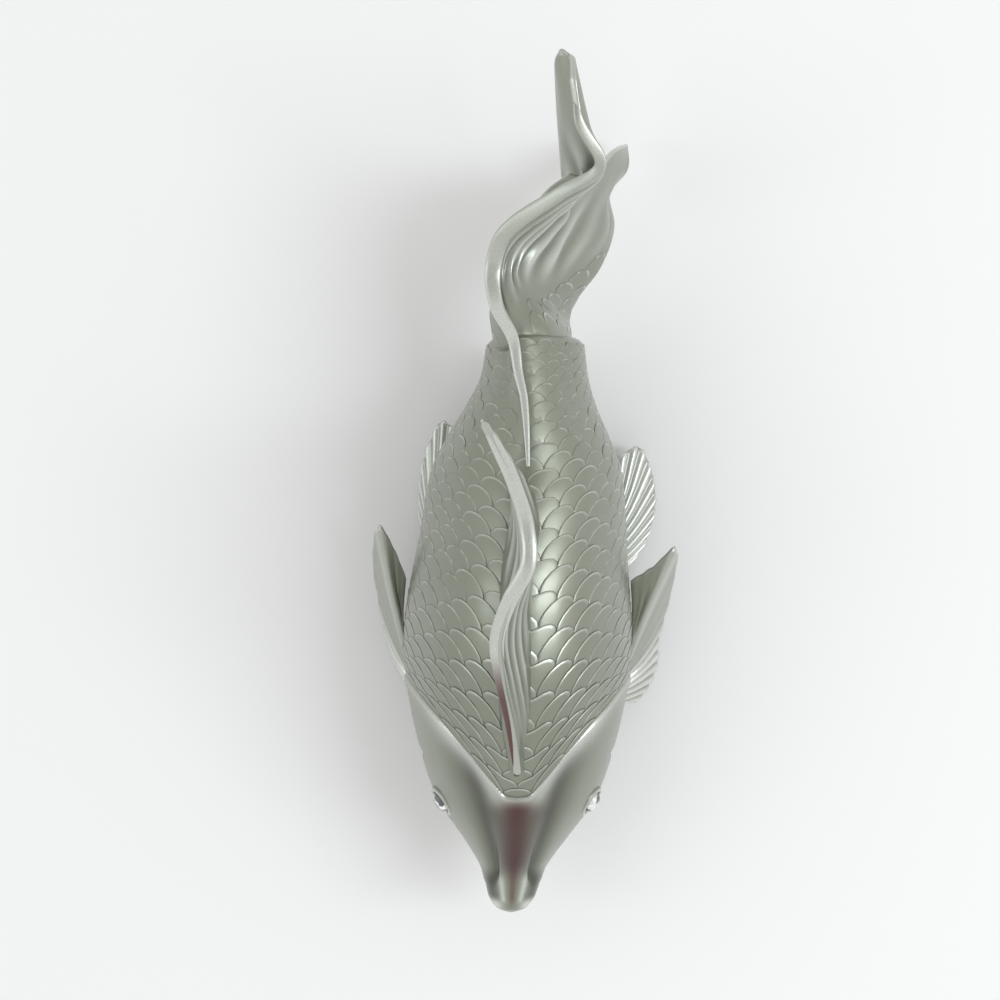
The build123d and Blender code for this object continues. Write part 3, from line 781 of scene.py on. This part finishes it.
def fin_shell(name, rays, half_thickness, ridge, ridge_fade, ray_count, counts, sweep=0.0, notch=0.0, pale=None, tip=None):
    """Closed fin: a sheet with two ridged sides that meet in a rounded margin."""
    across = steps(counts[0])
    along = steps(counts[1])
    grid_across, grid_along = np.meshgrid(across, along, indexing="ij")
    wave = 0.5 - 0.5 * np.cos(2 * math.pi * ray_count * (grid_across + sweep * (1 - grid_along)))
    reach = 1 - notch * (1 - wave[:, -1])
    if tip is not None:
        reach = reach - tip(across)
    points = np.stack([ray_sheet(rays, across[k:k + 1], along * reach[k])[0] for k in range(counts[0])])
    half = half_thickness(grid_across, grid_along)
    fade = ridge_fade(grid_across, grid_along)
    half = half + ridge * fade * (wave - 0.5)
    lengths = np.linalg.norm(np.diff(points, axis=1), axis=-1)
    to_margin = np.concatenate([np.cumsum(lengths[:, ::-1], axis=1)[:, ::-1], np.zeros((counts[0], 1))], axis=1)
    widths = np.linalg.norm(np.diff(points, axis=0), axis=-1)
    from_first = np.concatenate([np.zeros((1, counts[1])), np.cumsum(widths, axis=0)])
    to_last = from_first[-1:] - from_first
    half = half * rounded(to_margin, half) * rounded(from_first, half) * rounded(to_last, half)
    half[:, 0] = 0
    offset = sheet_normals(points) * half[..., None]
    fin_sides[name] = (points + offset, points - offset)
    every, faces = pillow(*fin_sides[name])
    # Painted shade in the furrows between the rays, with some dark wash
    groove = 0.45 * (1 - wave) ** 3 * fade
    # Painted highlight on the ridges of the rays, and a paler tone near the margins that is partly wear and partly
    # painted highlight
    rubbed = 0.6 * wave**2 * fade + 0.5 * (1 - ramp(0.4 * MM, 1.4 * MM, np.minimum(to_margin, from_first)))
    # Extra lightening that some fins are given
    if pale is not None:
        rubbed = rubbed + pale(grid_across, grid_along)
    values = {"groove": np.tile(groove.ravel(), 2), "rubbed": np.tile(np.clip(rubbed, 0, 1).ravel(), 2)}
    piece = make_piece(name, every, faces, **values)
    piece.data.materials.append(silver)
    return piece


def curve_through(points, count):
    """Smooth curve through points, in equal steps of its length."""
    points = np.asarray(points, float)
    lengths = np.linalg.norm(np.diff(points, axis=0), axis=1)
    places = np.concatenate([[0], np.cumsum(lengths)])
    return smooth(places, points, places[-1] * steps(count))


def band(name, path, width, height, colours):
    """Rounded band along a path, level from side to side, closed at both ends."""
    tangent = np.gradient(path, axis=0)
    tangent = tangent / np.linalg.norm(tangent, axis=1, keepdims=True)
    side = np.cross(tangent, (0, 0, 1.0))
    side = side / np.linalg.norm(side, axis=1, keepdims=True)
    upward = np.cross(side, tangent)
    turns = np.linspace(0, 2 * math.pi, 24, endpoint=False)
    flat = np.sign(np.cos(turns)) * np.abs(np.cos(turns)) ** 0.7
    tall = np.sign(np.sin(turns)) * np.abs(np.sin(turns)) ** 0.5
    rings = path[:, None] + side[:, None] * (width[:, None] / 2 * flat)[..., None]
    rings = rings + upward[:, None] * (height[:, None] / 2 * tall)[..., None]
    every, faces = closed_rings(rings, path[0], path[-1])
    tint = {key: np.append(np.repeat(values, 24), (0, 0)) for key, values in colours.items()}
    piece = make_piece(name, every, faces, **tint)
    piece.data.materials.append(silver)
    return piece


print("fin helpers ready")

# %% The dorsal fin
# Rays: root station, then sideways, back and up at the crest
dorsal_shares = (
    (0.260, -0.010, 0.020, 0.100),
    (0.325, -0.075, 0.150, 0.230),
    (0.400, -0.190, 0.275, 0.470),
    (0.465, -0.220, 0.250, 0.655),
    (0.520, -0.105, 0.295, 0.855),
    (0.570, 0.070, 0.365, 1.000),
    (0.620, 0.030, 0.460, 1.015),
    (0.670, -0.120, 0.570, 0.900),
    (0.715, -0.290, 0.625, 0.820),
    (0.755, -0.460, 0.670, 0.750),
)
bend_share = np.array((0.42, 0.42, 0.56))
fin_root_depth = 3.6 * MM
root_shift = 1.0 * MM  # the web flares further on the right flank
dorsal_height = 0.607 * node_box("dorsal_fin")[2][2]


def dorsal_rays():
    """Rays of the dorsal fin from inside the back to the crest."""
    rays = []
    for station, *crest in dorsal_shares:
        top = skin(station, 90.0)
        crest = np.array(crest) * dorsal_height
        root = top - (root_shift * ramp(0.27, 0.36, station) * (1 - ramp(0.60, 0.74, station)), 0, 0)
        rays.append([root - (0, 0, fin_root_depth), root, top + crest * bend_share, top + crest])
    return rays


def dorsal_half(across, along):
    """Half thickness: a flared root that thins into the web."""
    ends = 0.30 + 0.70 * ramp(0.0, 0.22, across) * (1 - ramp(0.80, 1.0, across))
    flare = (1 - ramp(0.28, 0.80, along)) ** 1.4
    return (1.1 + 3.0 * flare * ends) * MM


def dorsal_fade(across, along):
    """Where the ridges of the dorsal fin show."""
    return ramp(0.36, 0.50, along) * (1 - ramp(0.90, 0.97, along)) * ramp(0.10, 0.30, across)


dorsal = fin_shell("dorsal_fin_silver", dorsal_rays(), dorsal_half, 0.6 * MM, dorsal_fade, 8, (260, 110), sweep=0.75)
crest_line = steps(240)
crest_path = ray_sheet(dorsal_rays(), crest_line, np.array([1.0]))[:, 0] - (0, 0, 1.2 * MM)
crest_width = smooth((0, 0.12, 0.35, 0.7, 0.9, 1.0), (1.2, 2.6, 3.7, 3.5, 2.8, 0.7), crest_line) * MM
# Pale along the crest, partly wear and partly painted highlight, with a painted rose reflection at its front
dorsal_band = band(
    "dorsal_band", crest_path, crest_width, 0.35 * crest_width + 1.1 * MM,
    {"rubbed": 0.8 * ramp(0.05, 0.25, crest_line), "rose": 0.9 * (1 - ramp(0.17, 0.30, crest_line))},
)
print("dorsal fin", len(dorsal.data.polygons), "faces")

# %% The paired fins and the anal fin
# Rays: root station, then out, back and up at the middle and at the margin
left_pectoral_shares = (
    (0.355, 0.120, 0.000, -0.070, 0.235, 0.010, -0.160),
    (0.369, 0.160, 0.030, -0.100, 0.300, 0.080, -0.220),
    (0.384, 0.180, 0.085, -0.105, 0.330, 0.190, -0.225),
    (0.398, 0.180, 0.150, -0.060, 0.310, 0.320, -0.155),
    (0.412, 0.190, 0.280, 0.040, 0.350, 0.575, 0.015),
    (0.426, 0.170, 0.410, 0.165, 0.355, 0.820, 0.260),
    (0.441, 0.110, 0.310, 0.110, 0.190, 0.640, 0.190),
    (0.455, 0.040, 0.230, 0.040, 0.030, 0.490, 0.075),
)
right_pectoral_shares = (
    (0.355, 0.080, 0.045, -0.100, 0.150, 0.105, -0.210),
    (0.369, 0.110, 0.090, -0.105, 0.180, 0.190, -0.220),
    (0.384, 0.140, 0.130, -0.090, 0.225, 0.275, -0.200),
    (0.398, 0.150, 0.200, -0.050, 0.250, 0.430, -0.130),
    (0.412, 0.160, 0.370, 0.040, 0.281, 0.760, 0.015),
    (0.426, 0.130, 0.480, 0.170, 0.225, 0.965, 0.260),
    (0.441, 0.085, 0.380, 0.110, 0.115, 0.770, 0.190),
    (0.455, 0.040, 0.230, 0.040, 0.020, 0.510, 0.075),
)
left_pelvic_shares = (
    (0.570, 0.190, 0.100, -0.050, 0.345, 0.235, -0.120),
    (0.587, 0.260, 0.160, -0.060, 0.470, 0.360, -0.135),
    (0.604, 0.290, 0.250, -0.060, 0.525, 0.540, -0.135),
    (0.621, 0.275, 0.350, -0.055, 0.490, 0.740, -0.120),
    (0.638, 0.215, 0.430, -0.030, 0.360, 0.890, -0.070),
    (0.655, 0.110, 0.360, 0.000, 0.160, 0.730, -0.010),
)
right_pelvic_shares = (
    (0.570, 0.100, 0.150, -0.040, 0.190, 0.340, -0.100),
    (0.587, 0.120, 0.230, -0.050, 0.210, 0.500, -0.120),
    (0.604, 0.120, 0.320, -0.050, 0.205, 0.695, -0.120),
    (0.621, 0.105, 0.420, -0.040, 0.165, 0.900, -0.090),
    (0.638, 0.050, 0.530, 0.000, 0.035, 1.105, -0.010),
    (0.655, -0.020, 0.460, 0.010, -0.100, 0.960, 0.020),
)
anal_shares = (
    (0.800, 0.000, 0.160, -0.180, 0.000, 0.350, -0.320),
    (0.825, 0.000, 0.250, -0.230, 0.000, 0.550, -0.430),
    (0.850, 0.000, 0.340, -0.220, 0.000, 0.750, -0.400),
    (0.875, 0.000, 0.400, -0.150, 0.000, 0.850, -0.260),
    (0.900, 0.000, 0.380, -0.060, 0.000, 0.800, -0.090),
)
pectoral_reach = 0.92 * node_box("left_pectoral_fin")[2][1]
pelvic_reach = 0.818 * node_box("left_pelvic_fin")[2][1]
anal_reach = 0.647 * node_box("anal_fin")[2][1]


def flank_rays(rows, side, front_turn, rear_turn, reach):
    """Rays of a fin on one flank, from inside the body to the margin."""
    rays = []
    for share, row in zip(steps(len(rows)), rows):
        turn = front_turn + (rear_turn - front_turn) * share
        turn = turn if side > 0 else 180 - turn
        out = np.array((side, 1, 1))
        root = skin(row[0], turn)
        tab = skin(row[0], turn, -fin_root_depth)
        rays.append([tab, root, root + np.array(row[1:4]) * out * reach, root + np.array(row[4:7]) * out * reach])
    return rays


def flank_half(across, along):
    """Half thickness of a paired fin."""
    return (1.3 - 0.6 * ramp(0.3, 0.9, along)) * MM


def pelvic_fade(across, along):
    """Ridges of the pelvic and anal fins."""
    return ramp(0.34, 0.5, along)


def pectoral_fade(across, along):
    """Ridges of the pectoral fins, strong on the lower fan and faint on the smooth upper leaf."""
    return ramp(0.34, 0.5, along) * (1 - 0.95 * ramp(0.42, 0.56, across))


def pelvic_pale(across, along):
    """Painted sheen that lightens the fin nearly to white all over."""
    return 0.75 * ramp(0.34, 0.5, along)


def pectoral_pale(across, along):
    """Painted sheen: a little lighter all over, nearly white on the lower fan, with a painted highlight along the ridge
    of the upper leaf.
    """
    return 0.25 + 0.5 * (1 - ramp(0.40, 0.54, across)) + 0.35 * hump(0.70, 0.03, across)


fin_pieces = {"dorsal_fin": dorsal}
for node, rows, side, turns, reach, ray_count, fade, pale in (
    ("left_pectoral_fin", left_pectoral_shares, 1, (-32, -12), pectoral_reach, 14, pectoral_fade, pectoral_pale),
    ("right_pectoral_fin", right_pectoral_shares, -1, (-32, -12), pectoral_reach, 14, pectoral_fade, pectoral_pale),
    ("left_pelvic_fin", left_pelvic_shares, 1, (-46, -40), pelvic_reach, 10, pelvic_fade, pelvic_pale),
    ("right_pelvic_fin", right_pelvic_shares, -1, (-46, -40), pelvic_reach, 10, pelvic_fade, pelvic_pale),
    ("anal_fin", anal_shares, 1, (-90, -90), anal_reach, 9, pelvic_fade, None),
):
    rays = flank_rays(rows, side, *turns, reach)
    fin_pieces[node] = fin_shell(
        node + "_silver", rays, flank_half, 0.7 * MM, fade, ray_count, (150, 70), notch=0.008, pale=pale,
    )
print("fins", sorted(fin_pieces))

# %% [markdown]
# ## The tail and the crest that leads to it
#
# The tail root is a narrow oval that flattens into a forked fan. The fan is rolled, so
# from above its upper edge swings left and its lower edge right, and each lobe is cupped
# like a leaf. One pillow does it all: thick at the root, thin at the margins. A band runs
# from the crest on the back along the whole upper edge to the tip, made bright with a
# paler tone that is partly wear and partly painted highlight.

# %% The tail
tail_low, tail_high, tail_size = node_box("tail_casting")
tail_reach = np.array((0.943 * tail_size[0], 0.968 * (tail_high[1] - rim_centre[1]), 1.008 * tail_size[2]))
# Rays from the upper edge to the lower edge: sideways, back and up
tail_shares = np.array((
    (
        (-0.16, 0.02, 0.262), (-0.27, 0.145, 0.20), (-0.295, 0.28, 0.19), (-0.205, 0.405, 0.24),
        (0.16, 0.535, 0.34), (0.42, 0.625, 0.39), (0.278, 0.77, 0.45), (0.205, 1.012, 0.50),
    ),
    (
        (-0.12, 0.02, 0.175), (-0.21, 0.145, 0.155), (-0.245, 0.275, 0.145), (-0.145, 0.39, 0.18),
        (0.135, 0.50, 0.255), (0.42, 0.615, 0.32), (0.328, 0.765, 0.395), (0.210, 1.014, 0.46),
    ),
    (
        (-0.075, 0.02, 0.11), (-0.15, 0.145, 0.105), (-0.165, 0.265, 0.10), (-0.085, 0.37, 0.115),
        (0.10, 0.465, 0.16), (0.275, 0.57, 0.22), (0.200, 0.75, 0.30), (0.130, 0.994, 0.41),
    ),
    (
        (0.00, 0.02, 0.00), (-0.025, 0.13, 0.00), (0.015, 0.23, -0.005), (0.10, 0.33, -0.005),
        (0.16, 0.41, 0.00), (0.21, 0.48, 0.01), (0.235, 0.545, 0.02), (0.25, 0.60, 0.03),
    ),
    (
        (0.075, 0.02, -0.10), (0.075, 0.125, -0.10), (0.165, 0.225, -0.105), (0.31, 0.325, -0.12),
        (0.45, 0.44, -0.155), (0.475, 0.56, -0.20), (0.53, 0.68, -0.245), (0.565, 0.785, -0.28),
    ),
    (
        (0.195, 0.02, -0.18), (0.175, 0.13, -0.20), (0.29, 0.23, -0.21), (0.46, 0.335, -0.225),
        (0.562, 0.49, -0.275), (0.53, 0.63, -0.33), (0.675, 0.735, -0.40), (0.675, 0.84, -0.475),
    ),
))
buried = tail_shares[:, :1] * (0.7, 0, 0.62) - (0, 0.07, 0)
tail_rays = rim_centre + np.concatenate([buried, tail_shares], axis=1) * tail_reach


def tail_half(across, along):
    """Half thickness: oval root that flattens into a thin fan."""
    oval = np.sqrt(np.clip(1 - ((across - 0.56) / 0.46) ** 2, 0, 1))
    root = smooth((0.0, 0.125, 0.21, 0.30, 0.41, 0.52, 0.65, 1.0), (1.0, 1.05, 0.92, 0.66, 0.38, 0.16, 0.0, 0.0), along)
    return (7.5 * root * oval + 0.85) * MM


def scale_end(across):
    """How far along the tail its scales reach."""
    return 0.05 + 0.50 * across


def tail_fade(across, along):
    """Where the ridges of the tail show."""
    begin = ramp(0.01, 0.17, along - 0.14 - 0.40 * across)
    beside_band = 0.35 + 0.65 * ramp(0.06, 0.22, across)
    smooth_part = 1 - 0.8 * ramp(0.55, 0.8, across)
    return begin * (1 - ramp(0.74, 0.92, along)) * beside_band * smooth_part


def tail_tip(across):
    """How much shorter the upper lobe is beside the middle of its tip."""
    beside = np.clip((across - 0.25) / 0.25, -1, 1)
    return np.where(beside < 0, 0.046, 0.013) * beside**2 * (1 - ramp(0.42, 0.60, across))


def tail_pale(across, along):
    """Lightens the fan a little beyond its scales."""
    return 0.13 * ramp(0.0, 0.15, along - scale_end(across))


tail = fin_shell(
    "tail_silver", tail_rays, tail_half, 1.0 * MM, tail_fade, 9, (190, 200), sweep=0.30, pale=tail_pale, tip=tail_tip,
)
print("tail", len(tail.data.polygons), "faces")

# %% The band along the crest and the tail's upper edge
upper_edge = [skin(station, crest_turn(station), 0.2 * MM) for station in (0.79, 0.83, 0.87, 0.91, 0.95)]
upper_edge = upper_edge + list(tail_rays[0][1:-1])
upper_edge.append(tail_rays[0][-1] * 0.45 + tail_rays[0][-2] * 0.55 - (0, 0, 0.9 * MM))
edge_line = steps(300)
edge_width = smooth(
    (0, 0.08, 0.2, 0.35, 0.5, 0.62, 0.75, 0.92, 1.0), (0.9, 1.6, 2.3, 3.4, 4.2, 4.2, 3.2, 2.6, 0.8), edge_line,
) * MM
# Paler towards the crest: partly wear, partly painted highlight
edge_band = band(
    "tail_band", curve_through(upper_edge, 300), edge_width, 0.12 * edge_width + 0.9 * MM,
    {"rubbed": 0.85 - 0.45 * ramp(0.35, 0.6, edge_line)},
)
print("band", len(edge_band.data.polygons), "faces")

# %% The fold behind the band
# Outer edge of the fold that shows to the right of the fish, beside the band: sideways, back and up
fold_shares = np.array((
    (-0.06, 0.477, 0.27), (0.005, 0.516, 0.28), (0.085, 0.56, 0.285), (0.158, 0.587, 0.285), (0.232, 0.612, 0.27),
))
fold_outer = rim_centre + fold_shares * tail_reach
fold_inner = ray_sheet(tail_rays, np.array([0.06]), np.linspace(0.575, 0.70, 5))[0]
fold_rays = [(inner, (inner + outer) / 2, outer) for inner, outer in zip(fold_inner, fold_outer)]


def fold_half(across, along):
    """Half thickness of the fold."""
    return (0.9 - 0.2 * along) * MM


def no_ridges(across, along):
    """Plain surface."""
    return 0 * along


fold = fin_shell("tail_fold", fold_rays, fold_half, 0.0, no_ridges, 1, (40, 24))
print("fold", len(fold.data.polygons), "faces")

# %% Scales on the tail root
tail_columns = 5
tail_rings = 7
tail_plate = scale_plate("tail_plate", 0.35, 0.95)


def on_grid(grid, across, along):
    """Points of a grid at shares of its two ways."""
    row = np.clip(across, 0, 1) * (grid.shape[0] - 1)
    column = np.clip(along, 0, 1) * (grid.shape[1] - 1)
    above = np.minimum(row.astype(int), grid.shape[0] - 2)
    before = np.minimum(column.astype(int), grid.shape[1] - 2)
    down = (row - above)[..., None]
    right = (column - before)[..., None]
    first = grid[above, before] * (1 - right) + grid[above, before + 1] * right
    second = grid[above + 1, before] * (1 - right) + grid[above + 1, before + 1] * right
    return first * (1 - down) + second * down


def tail_side(side):
    """Point of one side of the tail under a place on its map."""
    surface = fin_sides["tail_silver"][0 if side > 0 else 1]

    def point(ring, column):
        return on_grid(surface, 0.16 + 0.82 * np.asarray(column) / tail_columns, 0.075 + 0.06 * np.asarray(ring))
    return point


tail_scales = []
for side, word in ((1, "one"), (-1, "other")):
    places = []
    for ring in range(1, tail_rings + 1):
        for number in range(tail_columns):
            column = number + 0.5 * (ring % 2)
            room = scale_end(0.16 + 0.82 * column / tail_columns) - (0.075 + 0.06 * ring)
            if room > 0:
                places.append((ring, column, 1.0, 0.22 + 0.16 * ramp(0.0, 0.12, room)))
    tail_bed = make_bed("tail_bed_" + word, tail_side(side), tail_rings, tail_columns, side)
    tail_scales.append(lay_scales(
        "tail_scales_" + word, layer_tree, make_places("tail_places_" + word, places, tail_rings, tail_columns),
        {"Bed": tail_bed, "Plate": tail_plate, "Relief": 0.50 * MM, "Unevenness": 0.05, "Seed": 11, "Paint": silver},
    ))
    bpy.data.objects.remove(tail_bed)
print("tail scales", [len(piece.data.polygons) for piece in tail_scales])

# %% [markdown]
# ## Eyes
#
# Each eye is a clear faceted crystal in a raised ring. The ring is turned like a small
# bead round the way that the eye looks, and the stone is cut in flat facets, so it is
# left unsmoothed. No foil is built behind it: the flashes of facets and foil are painted
# on the stone's own colour as bright and dark patches.

# %% Rings and stones
eye_look = {}
for side, node in ((1, "left_eye_stone"), (-1, "right_eye_stone")):
    lift, forward = math.radians(16), math.radians(33)
    eye_look[node] = np.array((
        side * math.cos(lift) * math.cos(forward), -math.cos(lift) * math.sin(forward), math.sin(lift),
    ))


def turned(profile, centre, axis, count):
    """Points of a profile of (radius, height) turned about an axis."""
    side = np.cross(axis, (0, 0, 1.0))
    side = side / np.linalg.norm(side)
    other = np.cross(axis, side)
    turns = np.linspace(0, 2 * math.pi, count, endpoint=False)
    ring = np.cos(turns)[:, None] * side + np.sin(turns)[:, None] * other
    return np.array([centre + axis * height + ring * radius for radius, height in profile])


stone_material, stone_tree, stone_shader = new_material("clear_crystal")
stone_place = stone_tree.make("ShaderNodeTexCoord", output=3)
# Painted glints: the stone's colour is a patchwork of near-black and near-white cells standing for flashing facets and
# foil
sparkle = stone_tree.make("ShaderNodeTexVoronoi", {}, {"Vector": stone_place, "Scale": 620.0}, output=1)
spark = stone_tree.make("ShaderNodeSeparateColor", {}, {"Color": sparkle}, output=0)
glint = stone_tree.make("ShaderNodeMapRange", {}, {"Value": spark, "From Min": 0.35, "From Max": 0.75})
attach(glint.mix((0.10, 0.11, 0.105, 1), (0.96, 0.97, 0.97, 1)), stone_shader, "Base Color")
stone_shader.inputs["Roughness"].default_value = 0.03
stone_shader.inputs["IOR"].default_value = 1.55
stone_shader.inputs["Metallic"].default_value = 0.6
stone_shader.inputs["Coat Weight"].default_value = 1.0

for node, look in eye_look.items():
    low, high, size = node_box(node)
    centre = (low + high) / 2
    radius = 3.1 * MM
    ring_profile = [
        (radius * share, height * MM)
        for share, height in (
            (1.52, -3.6), (1.50, -2.2), (1.44, -1.5), (1.32, -1.0), (1.15, -0.85), (1.04, -1.05), (1.0, -1.4), (0.95, -2.4),
        )
    ]
    points = turned(ring_profile, centre, look, 48)
    every, faces = closed_rings(points, points[0].mean(axis=0), points[-1].mean(axis=0))
    side_name = node.split("_")[0]
    ring = make_piece(
        side_name + "_eye_ring", every, faces,
        # Painted shade at the ring's foot and down inside it
        groove=np.append(np.repeat((0.9, 0.9, 0.5, 0.0, 0.0, 0.3, 0.8, 0.9), 48), (0.9, 0.9)),
        # Painted highlight on the top of the ring
        rubbed=np.append(np.repeat((0.0, 0.0, 0.2, 0.6, 0.8, 0.3, 0.0, 0.0), 48), (0.0, 0.0)),
    )
    ring.data.materials.append(silver)
    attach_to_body(ring, "root")
    stone_profile = [
        (radius * share, height * MM)
        for share, height in ((0.25, -2.0), (0.97, -1.0), (0.97, -0.8), (0.78, -0.1), (0.50, 0.3))
    ]
    points = turned(stone_profile, centre, look, 12)
    every, faces = closed_rings(points, points[0].mean(axis=0), points[-1].mean(axis=0))
    stone = make_piece(side_name + "_crystal", every, faces)
    stone.data.shade_flat()
    stone.data.materials.append(stone_material)
    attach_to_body(stone, "root")
    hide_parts(node)
print("eyes set")

# %% [markdown]
# ## Felt, plug and dowel
#
# The pad under the belly is pressed felt, with a soft edge. The plug and the dowel hide
# inside, and their solids are already the right shape, so they only get a finish.

# %% Felt, plug and dowel
felt_material, felt_tree, felt_shader = new_material("pressed_felt")
felt_place = felt_tree.make("ShaderNodeTexCoord", output=3)
fibres = felt_tree.make("ShaderNodeTexNoise", {}, {"Vector": felt_place, "Scale": 1400.0, "Detail": 5.0})
attach(fibres.mix((0.012, 0.013, 0.013, 1), (0.05, 0.052, 0.052, 1)), felt_shader, "Base Color")
felt_shader.inputs["Roughness"].default_value = 0.95
felt_shader.inputs["Sheen Weight"].default_value = 0.3
fuzz = felt_tree.make("ShaderNodeBump", {}, {"Strength": 0.6, "Distance": 0.0002, "Height": fibres})
attach(fuzz, felt_shader, "Normal")
felt_low, felt_high, felt_size = node_box("base_felt")
felt_turns = np.linspace(0, 2 * math.pi, 96, endpoint=False)
felt_rings = []
for level, inset in ((0.0, 0.35), (0.12, 0.08), (0.3, 0.0), (0.75, 0.0), (1.0, 0.15)):
    half_x = felt_size[0] / 2 - inset * MM
    half_y = felt_size[1] / 2 - inset * MM
    height = felt_low[2] + felt_size[2] * level
    felt_rings.append([(half_x * math.cos(t), half_y * math.sin(t), height) for t in felt_turns])
felt_rings = np.array(felt_rings)
every, faces = closed_rings(felt_rings, felt_rings[0].mean(axis=0), felt_rings[-1].mean(axis=0))
felt = make_piece("felt_pad", every, faces)
felt.data.materials.append(felt_material)
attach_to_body(felt, "root")
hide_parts("base_felt")


def speckled(name, dark, light, scale, metallic, roughness):
    """Plain finish with a fine speckle."""
    material, tree, shader = new_material(name)
    place = tree.make("ShaderNodeTexCoord", output=3)
    noise = tree.make("ShaderNodeTexNoise", {}, {"Vector": place, "Scale": scale, "Detail": 3.0})
    attach(noise.mix(dark, light), shader, "Base Color")
    attach(roughness + noise * 0.15, shader, "Roughness")
    shader.inputs["Metallic"].default_value = metallic
    return material


hidden_finishes = {
    "fill_plug": speckled("plug_plastic", (0.05, 0.05, 0.05, 1), (0.09, 0.09, 0.09, 1), 900.0, 0.0, 0.5),
    "tail_dowel": speckled("dowel_steel", (0.32, 0.32, 0.33, 1), (0.5, 0.5, 0.5, 1), 1200.0, 1.0, 0.3),
}
for node, material in hidden_finishes.items():
    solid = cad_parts[node]
    solid.data.materials.clear()
    solid.data.materials.append(material)
print("felt, plug and dowel finished")

# %% [markdown]
# ## Join everything to the frame
#
# Nothing on this ornament moves, so every piece rides on the one body of the frame, and
# each new shell stands for the solid that it covers.

# %% Ride and replace
for piece in (bed, plate, tail_plate):
    bpy.data.objects.remove(piece)
silver_pieces = (body_skin, body_scales, edge_band, fold, dorsal_band, tail, *tail_scales, *fin_pieces.values())
for piece in silver_pieces:
    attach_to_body(piece, "root")
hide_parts("body_casting")
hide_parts("tail_casting")
for node, piece in fin_pieces.items():
    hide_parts(node)
